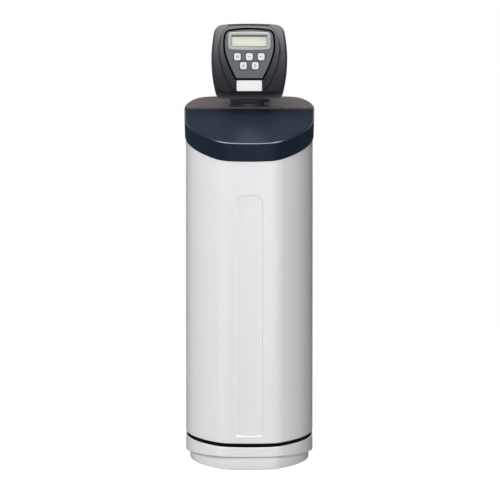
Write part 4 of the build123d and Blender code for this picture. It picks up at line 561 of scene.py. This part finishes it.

# Display: a pale green-grey reflective glass in a grey holder on the board, blank when off.
# The holder stands up round it, so a dark band of shadow lies along the top of the window, and the glass is
# also painted darker towards its top as painted shadow.
screen = Finish("display glass", Specular_IOR_Level=0.5)
glass_middle_z, glass_half_wide, glass_half_tall, glass_edge = 1.0821, 0.0446, 0.0121, 0.0004
across = screen.node("Math", {"operation": "ABSOLUTE"}, {0: screen.x})
upward = screen.node("Math", {"operation": "ABSOLUTE"}, {0: screen.z - glass_middle_z})
beside = screen.between(across, glass_half_wide, glass_half_wide + glass_edge)
beyond = screen.between(upward, glass_half_tall, glass_half_tall + glass_edge)
on_glass = (1 - beside) * (1 - beyond)
# Painted shadow: the glass's colour darkens towards its top.
painted_top_shadow = screen.between(screen.z, 1.0735, 1.0975)
pale = screen.mix(painted_top_shadow, (0.8, 0.82, 0.7), (0.75, 0.77, 0.655))
screen.set("Base Color", screen.mix(on_glass, (0.09, 0.095, 0.1), pale))
screen.set("Roughness", 0.45 - 0.2 * on_glass)
screen.bump(screen.noise(900, 2), 0.00001)
dress(screen, "display_module")
clear = Finish("clear acrylic", Transmission_Weight=1.0, IOR=1.47, Base_Color=(0.96, 0.97, 0.96, 1))
clear.set("Roughness", 0.02 + 0.03 * clear.noise(30, 4))
dress(clear, "display_window")
silver = Finish("silver paint", Metallic=0.75, Coat_Weight=0.25, Coat_Roughness=0.2)
silver.set("Base Color", silver.mix(silver.noise(18, 3), (0.42, 0.43, 0.435), (0.52, 0.53, 0.535)))
silver.set("Roughness", 0.32 + 0.08 * silver.noise(50, 3))
silver.bump(silver.cells(3500), 0.00001)
dress(silver, "display_bezel")

# Buttons: five white keycaps, each in a soft black surround, with a grey printed mark.
# The marks are plain: a clock, two arrowheads, a double arrow, and an arrow up and down.
key_white = Finish("keycap white", Coat_Weight=0.15, Coat_Roughness=0.2)
touched = key_white.noise(90, 4)
key_white.set("Base Color", key_white.mix(touched, (0.8, 0.8, 0.81), (0.87, 0.87, 0.88)))
key_white.set("Roughness", 0.32 + 0.14 * touched)
key_white.bump(key_white.noise(800, 2), 0.000015)
ink = moulded("grey ink", (0.2, 0.2, 0.215), 0.6, grain=3000, depth=0.000005)
ink_thick, line_width = 0.00004, 0.0011
key_flange, key_gap, rim_width, rim_corner = 0.0016, 0.0005, 0.0014, 0.0055
rim_front_y, rim_back_y = -0.00935, -0.0089


def outlined(bm, corners, width):
    """A thin closed line of a width just inside a polygon's corners."""
    face = bm.faces.new([bm.verts.new((x, 0, z)) for x, z in corners])
    face.normal_update()
    bmesh.ops.inset_region(bm, faces=[face], thickness=width, use_boundary=True, use_even_offset=True)
    bmesh.ops.delete(bm, geom=[face], context="FACES")


def solid_shape(bm, corners):
    bm.faces.new([bm.verts.new((x, 0, z)) for x, z in corners])


def key_mark(number, bm):
    circle = [(0.0036 * cos(step * pi / 12), 0.0036 * sin(step * pi / 12)) for step in range(24)]
    arrow = [(0, 0.0044), (0.0038, 0), (0.0019, 0), (0.0019, -0.004),
             (-0.0019, -0.004), (-0.0019, 0), (-0.0038, 0)]
    if number == 1:
        outlined(bm, circle, line_width)
        solid_shape(bm, [(-0.0005, -0.0005), (0.0005, -0.0005), (0.0005, 0.0022), (-0.0005, 0.0022)])
        solid_shape(bm, [(0.0005, -0.0005), (0.0018, -0.0005), (0.0018, 0.0005), (0.0005, 0.0005)])
    elif number == 2:
        for side in (-1, 1):
            solid_shape(bm, [(side * 0.001, 0.0022), (side * 0.001, -0.0022), (side * 0.0042, 0)])
    elif number == 3:
        for side in (-1, 1):
            solid_shape(bm, [(side * 0.0018, 0.0022), (side * 0.0018, -0.0022), (side * 0.0044, 0)])
        solid_shape(bm, [(-0.0018, -0.0004), (0.0018, -0.0004), (0.0018, 0.0004), (-0.0018, 0.0004)])
    else:
        way = 1 if number == 4 else -1
        outlined(bm, [(x, way * z) for x, z in arrow][::way], line_width)


for number in range(1, 6):
    node = f"button_{number}"
    low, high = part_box(node)
    middle = (low + high) / 2
    dress(key_white, node)
    mark = bmesh.new()
    key_mark(number, mark)
    bmesh.ops.solidify(mark, geom=mark.faces[:], thickness=ink_thick)
    bmesh.ops.translate(mark, verts=mark.verts, vec=(middle.x, low.y - ink_thick, middle.z))
    finish_piece(f"{node}_mark", mark, ink, node)
    surround = bmesh.new()
    half_wide = (high.x - low.x) / 2 - key_flange + key_gap + rim_width
    half_tall = (high.z - low.z) / 2 - key_flange + key_gap + rim_width
    bar(surround, (middle.x - half_wide, rim_front_y, middle.z - half_tall),
        (middle.x + half_wide, rim_back_y, middle.z + half_tall))
    upright = [edge for edge in surround.edges
               if abs(edge.verts[0].co.y - edge.verts[1].co.y) > 0.0001]
    bmesh.ops.bevel(surround, geom=upright, offset=rim_corner, segments=8, affect="EDGES",
                    profile=0.5, material=-1)
    faces = [face for face in surround.faces if abs(face.normal.y) > 0.9]
    bmesh.ops.inset_individual(surround, faces=faces, thickness=rim_width)
    bmesh.ops.delete(surround, geom=faces, context="FACES")
    loops = [edge for edge in surround.edges if len(edge.link_faces) == 1]
    bmesh.ops.bridge_loops(surround, edges=loops)
    finish_piece(f"{node}_surround", surround, rubber, "head_cover")

# Studio: a pale round floor under a white room, with large soft lamps on all sides and one above.
# The camera sees the room plain white. Glossy surfaces see bright cards in a dark room instead: one low
# behind, two in front and one overhead. Rays through the clear window see a plain light room.
floor_mesh = bmesh.new()
bmesh.ops.create_circle(floor_mesh, cap_ends=True, radius=2.2, segments=96)
floor_paint = Finish("studio floor", Base_Color=(0.22, 0.22, 0.22, 1), Roughness=0.9)
plain_floor = Shade(floor_paint, floor_paint.shader.outputs[0])
glow = floor_paint.node("Emission", {}, {"Color": (1, 1, 1), "Strength": 0.86}, "Emission")
far_white = floor_paint.node("Emission", {}, {"Color": (1, 1, 1), "Strength": 1.05}, "Emission")
far = floor_paint.between((floor_paint.x * floor_paint.x + floor_paint.y * floor_paint.y) ** 0.5, 0.5, 1.3)
lit = floor_paint.node("AddShader", {}, {0: glow, 1: plain_floor})
lit = floor_paint.node("MixShader", {}, {0: far, 1: lit, 2: far_white})
dim = floor_paint.node("Emission", {}, {"Color": (1, 1, 1), "Strength": 0.07}, "Emission")
rays = floor_paint.node("LightPath", {}, {}, "Is Camera Ray")
mirrored = floor_paint.node("LightPath", {}, {}, "Is Glossy Ray")
shown = floor_paint.node("MixShader", {}, {0: mirrored, 1: plain_floor, 2: dim})
shown = floor_paint.node("MixShader", {}, {0: rays, 1: shown, 2: lit})
floor_paint.feed(floor_paint.tree.nodes["Material Output"], "Surface", shown)
mesh = bpy.data.meshes.new("studio_floor")
floor_mesh.to_mesh(mesh)
floor_mesh.free()
mesh.materials.append(floor_paint.material)
studio_floor = bpy.data.objects.new("studio_floor", mesh)
scene.collection.objects.link(studio_floor)

room = bpy.data.worlds.new("room")
room.use_nodes = True
scene.world = room


def add_room_node(kind, settings=None, sockets=None, out=0):
    made = room.node_tree.nodes.new("ShaderNode" + kind)
    for key, value in (settings or {}).items():
        setattr(made, key, value)
    for key, value in (sockets or {}).items():
        target = made.inputs[key]
        if isinstance(value, bpy.types.NodeSocket):
            room.node_tree.links.new(value, target)
        else:
            target.default_value = value
    return made.outputs[out]


path = add_room_node("LightPath").node
heading = add_room_node("SeparateXYZ", {}, {0: add_room_node("TexCoord", out="Generated")}, "Z").node


def room_band(axis, low, high):
    """0 where a heading's share along an axis is below low, 1 above high."""
    return add_room_node("MapRange", {"interpolation_type": "SMOOTHSTEP"},
                         {"Value": heading.outputs[axis], "From Min": low, "From Max": high})


def room_product(*terms):
    result = terms[0]
    for term in terms[1:]:
        result = add_room_node("Math", {"operation": "MULTIPLY"}, {0: result, 1: term})
    return result


shade_level = 0.05
backdrop = room_product(room_band("Y", 0.5, 0.9), room_band("Z", 0.02, 0.1), room_band("Z", 0.3, 0.18))
front_card = room_product(room_band("Y", -0.3, -0.9), room_band("Z", -0.5, -0.16), 0.62)
high_card = room_product(room_band("Y", -0.5, -0.85),
                         room_band("Z", 0.0, 0.22), room_band("Z", 0.8, 0.6), 3.2)
top_strip = room_product(room_band("Y", 0.35, 0.0),
                         room_band("Z", 0.5, 0.62), room_band("Z", 0.97, 0.9), 14.0)
glossy = backdrop
for card in (front_card, high_card, top_strip, shade_level):
    glossy = add_room_node("Math", {"operation": "MAXIMUM"}, {0: glossy, 1: card})
level = add_room_node("Mix", {}, {0: path.outputs["Is Glossy Ray"], 2: shade_level, 3: glossy})
level = add_room_node("Mix", {}, {0: path.outputs["Is Transmission Ray"], 2: level, 3: 0.9})
level = add_room_node("Mix", {}, {0: path.outputs["Is Camera Ray"], 2: level, 3: 1.0})
room.node_tree.links.new(level, room.node_tree.nodes["Background"].inputs["Strength"])
room.node_tree.nodes["Background"].inputs["Color"].default_value = (1, 1, 1, 1)


def soft_lamp(name, spot, aim, wide, tall, power):
    """A soft box turned towards aim, which mirrors and gloss do not show."""
    lamp = bpy.data.lights.new(name, "AREA")
    lamp.shape = "RECTANGLE"
    lamp.size, lamp.size_y = wide, tall
    lamp.energy = power
    stand = bpy.data.objects.new(name, lamp)
    stand.location = spot
    stand.rotation_euler = (Vector(aim) - Vector(spot)).to_track_quat("-Z", "Y").to_euler()
    stand.visible_glossy = False
    scene.collection.objects.link(stand)


soft_lamp("left", (-4.0, 0.2, 1.6), (0, 0, 0.6), 1.6, 2.0, 150)
soft_lamp("right_front", (2.2, -3.65, 1.6), (0, 0, 0.55), 1.6, 2.0, 86)
soft_lamp("front", (0.0, -4.1, 1.7), (0, 0, 0.55), 1.6, 2.0, 72)
soft_lamp("rear", (0.6, 4.1, 1.3), (0, 0, 0.6), 1.6, 2.0, 95)
soft_lamp("top", (-0.2, -0.7, 3.2), (0, 0, 0.9), 1.6, 0.7, 20)

camera = bpy.data.cameras.new("camera")
camera.lens, camera.sensor_width = 1118.5, 36
stand = bpy.data.objects.new("camera", camera)
aim, tilt, reach = Vector((0.0018, -0.261, 0.5758)), radians(8.4), 40.0
stand.location = aim + Vector((0, -cos(tilt), sin(tilt))) * reach
stand.rotation_euler = (aim - stand.location).to_track_quat("-Z", "Y").to_euler()
camera.clip_start, camera.clip_end = 0.5, 90
scene.collection.objects.link(stand)
scene.camera = stand
scene.view_settings.view_transform = "Standard"
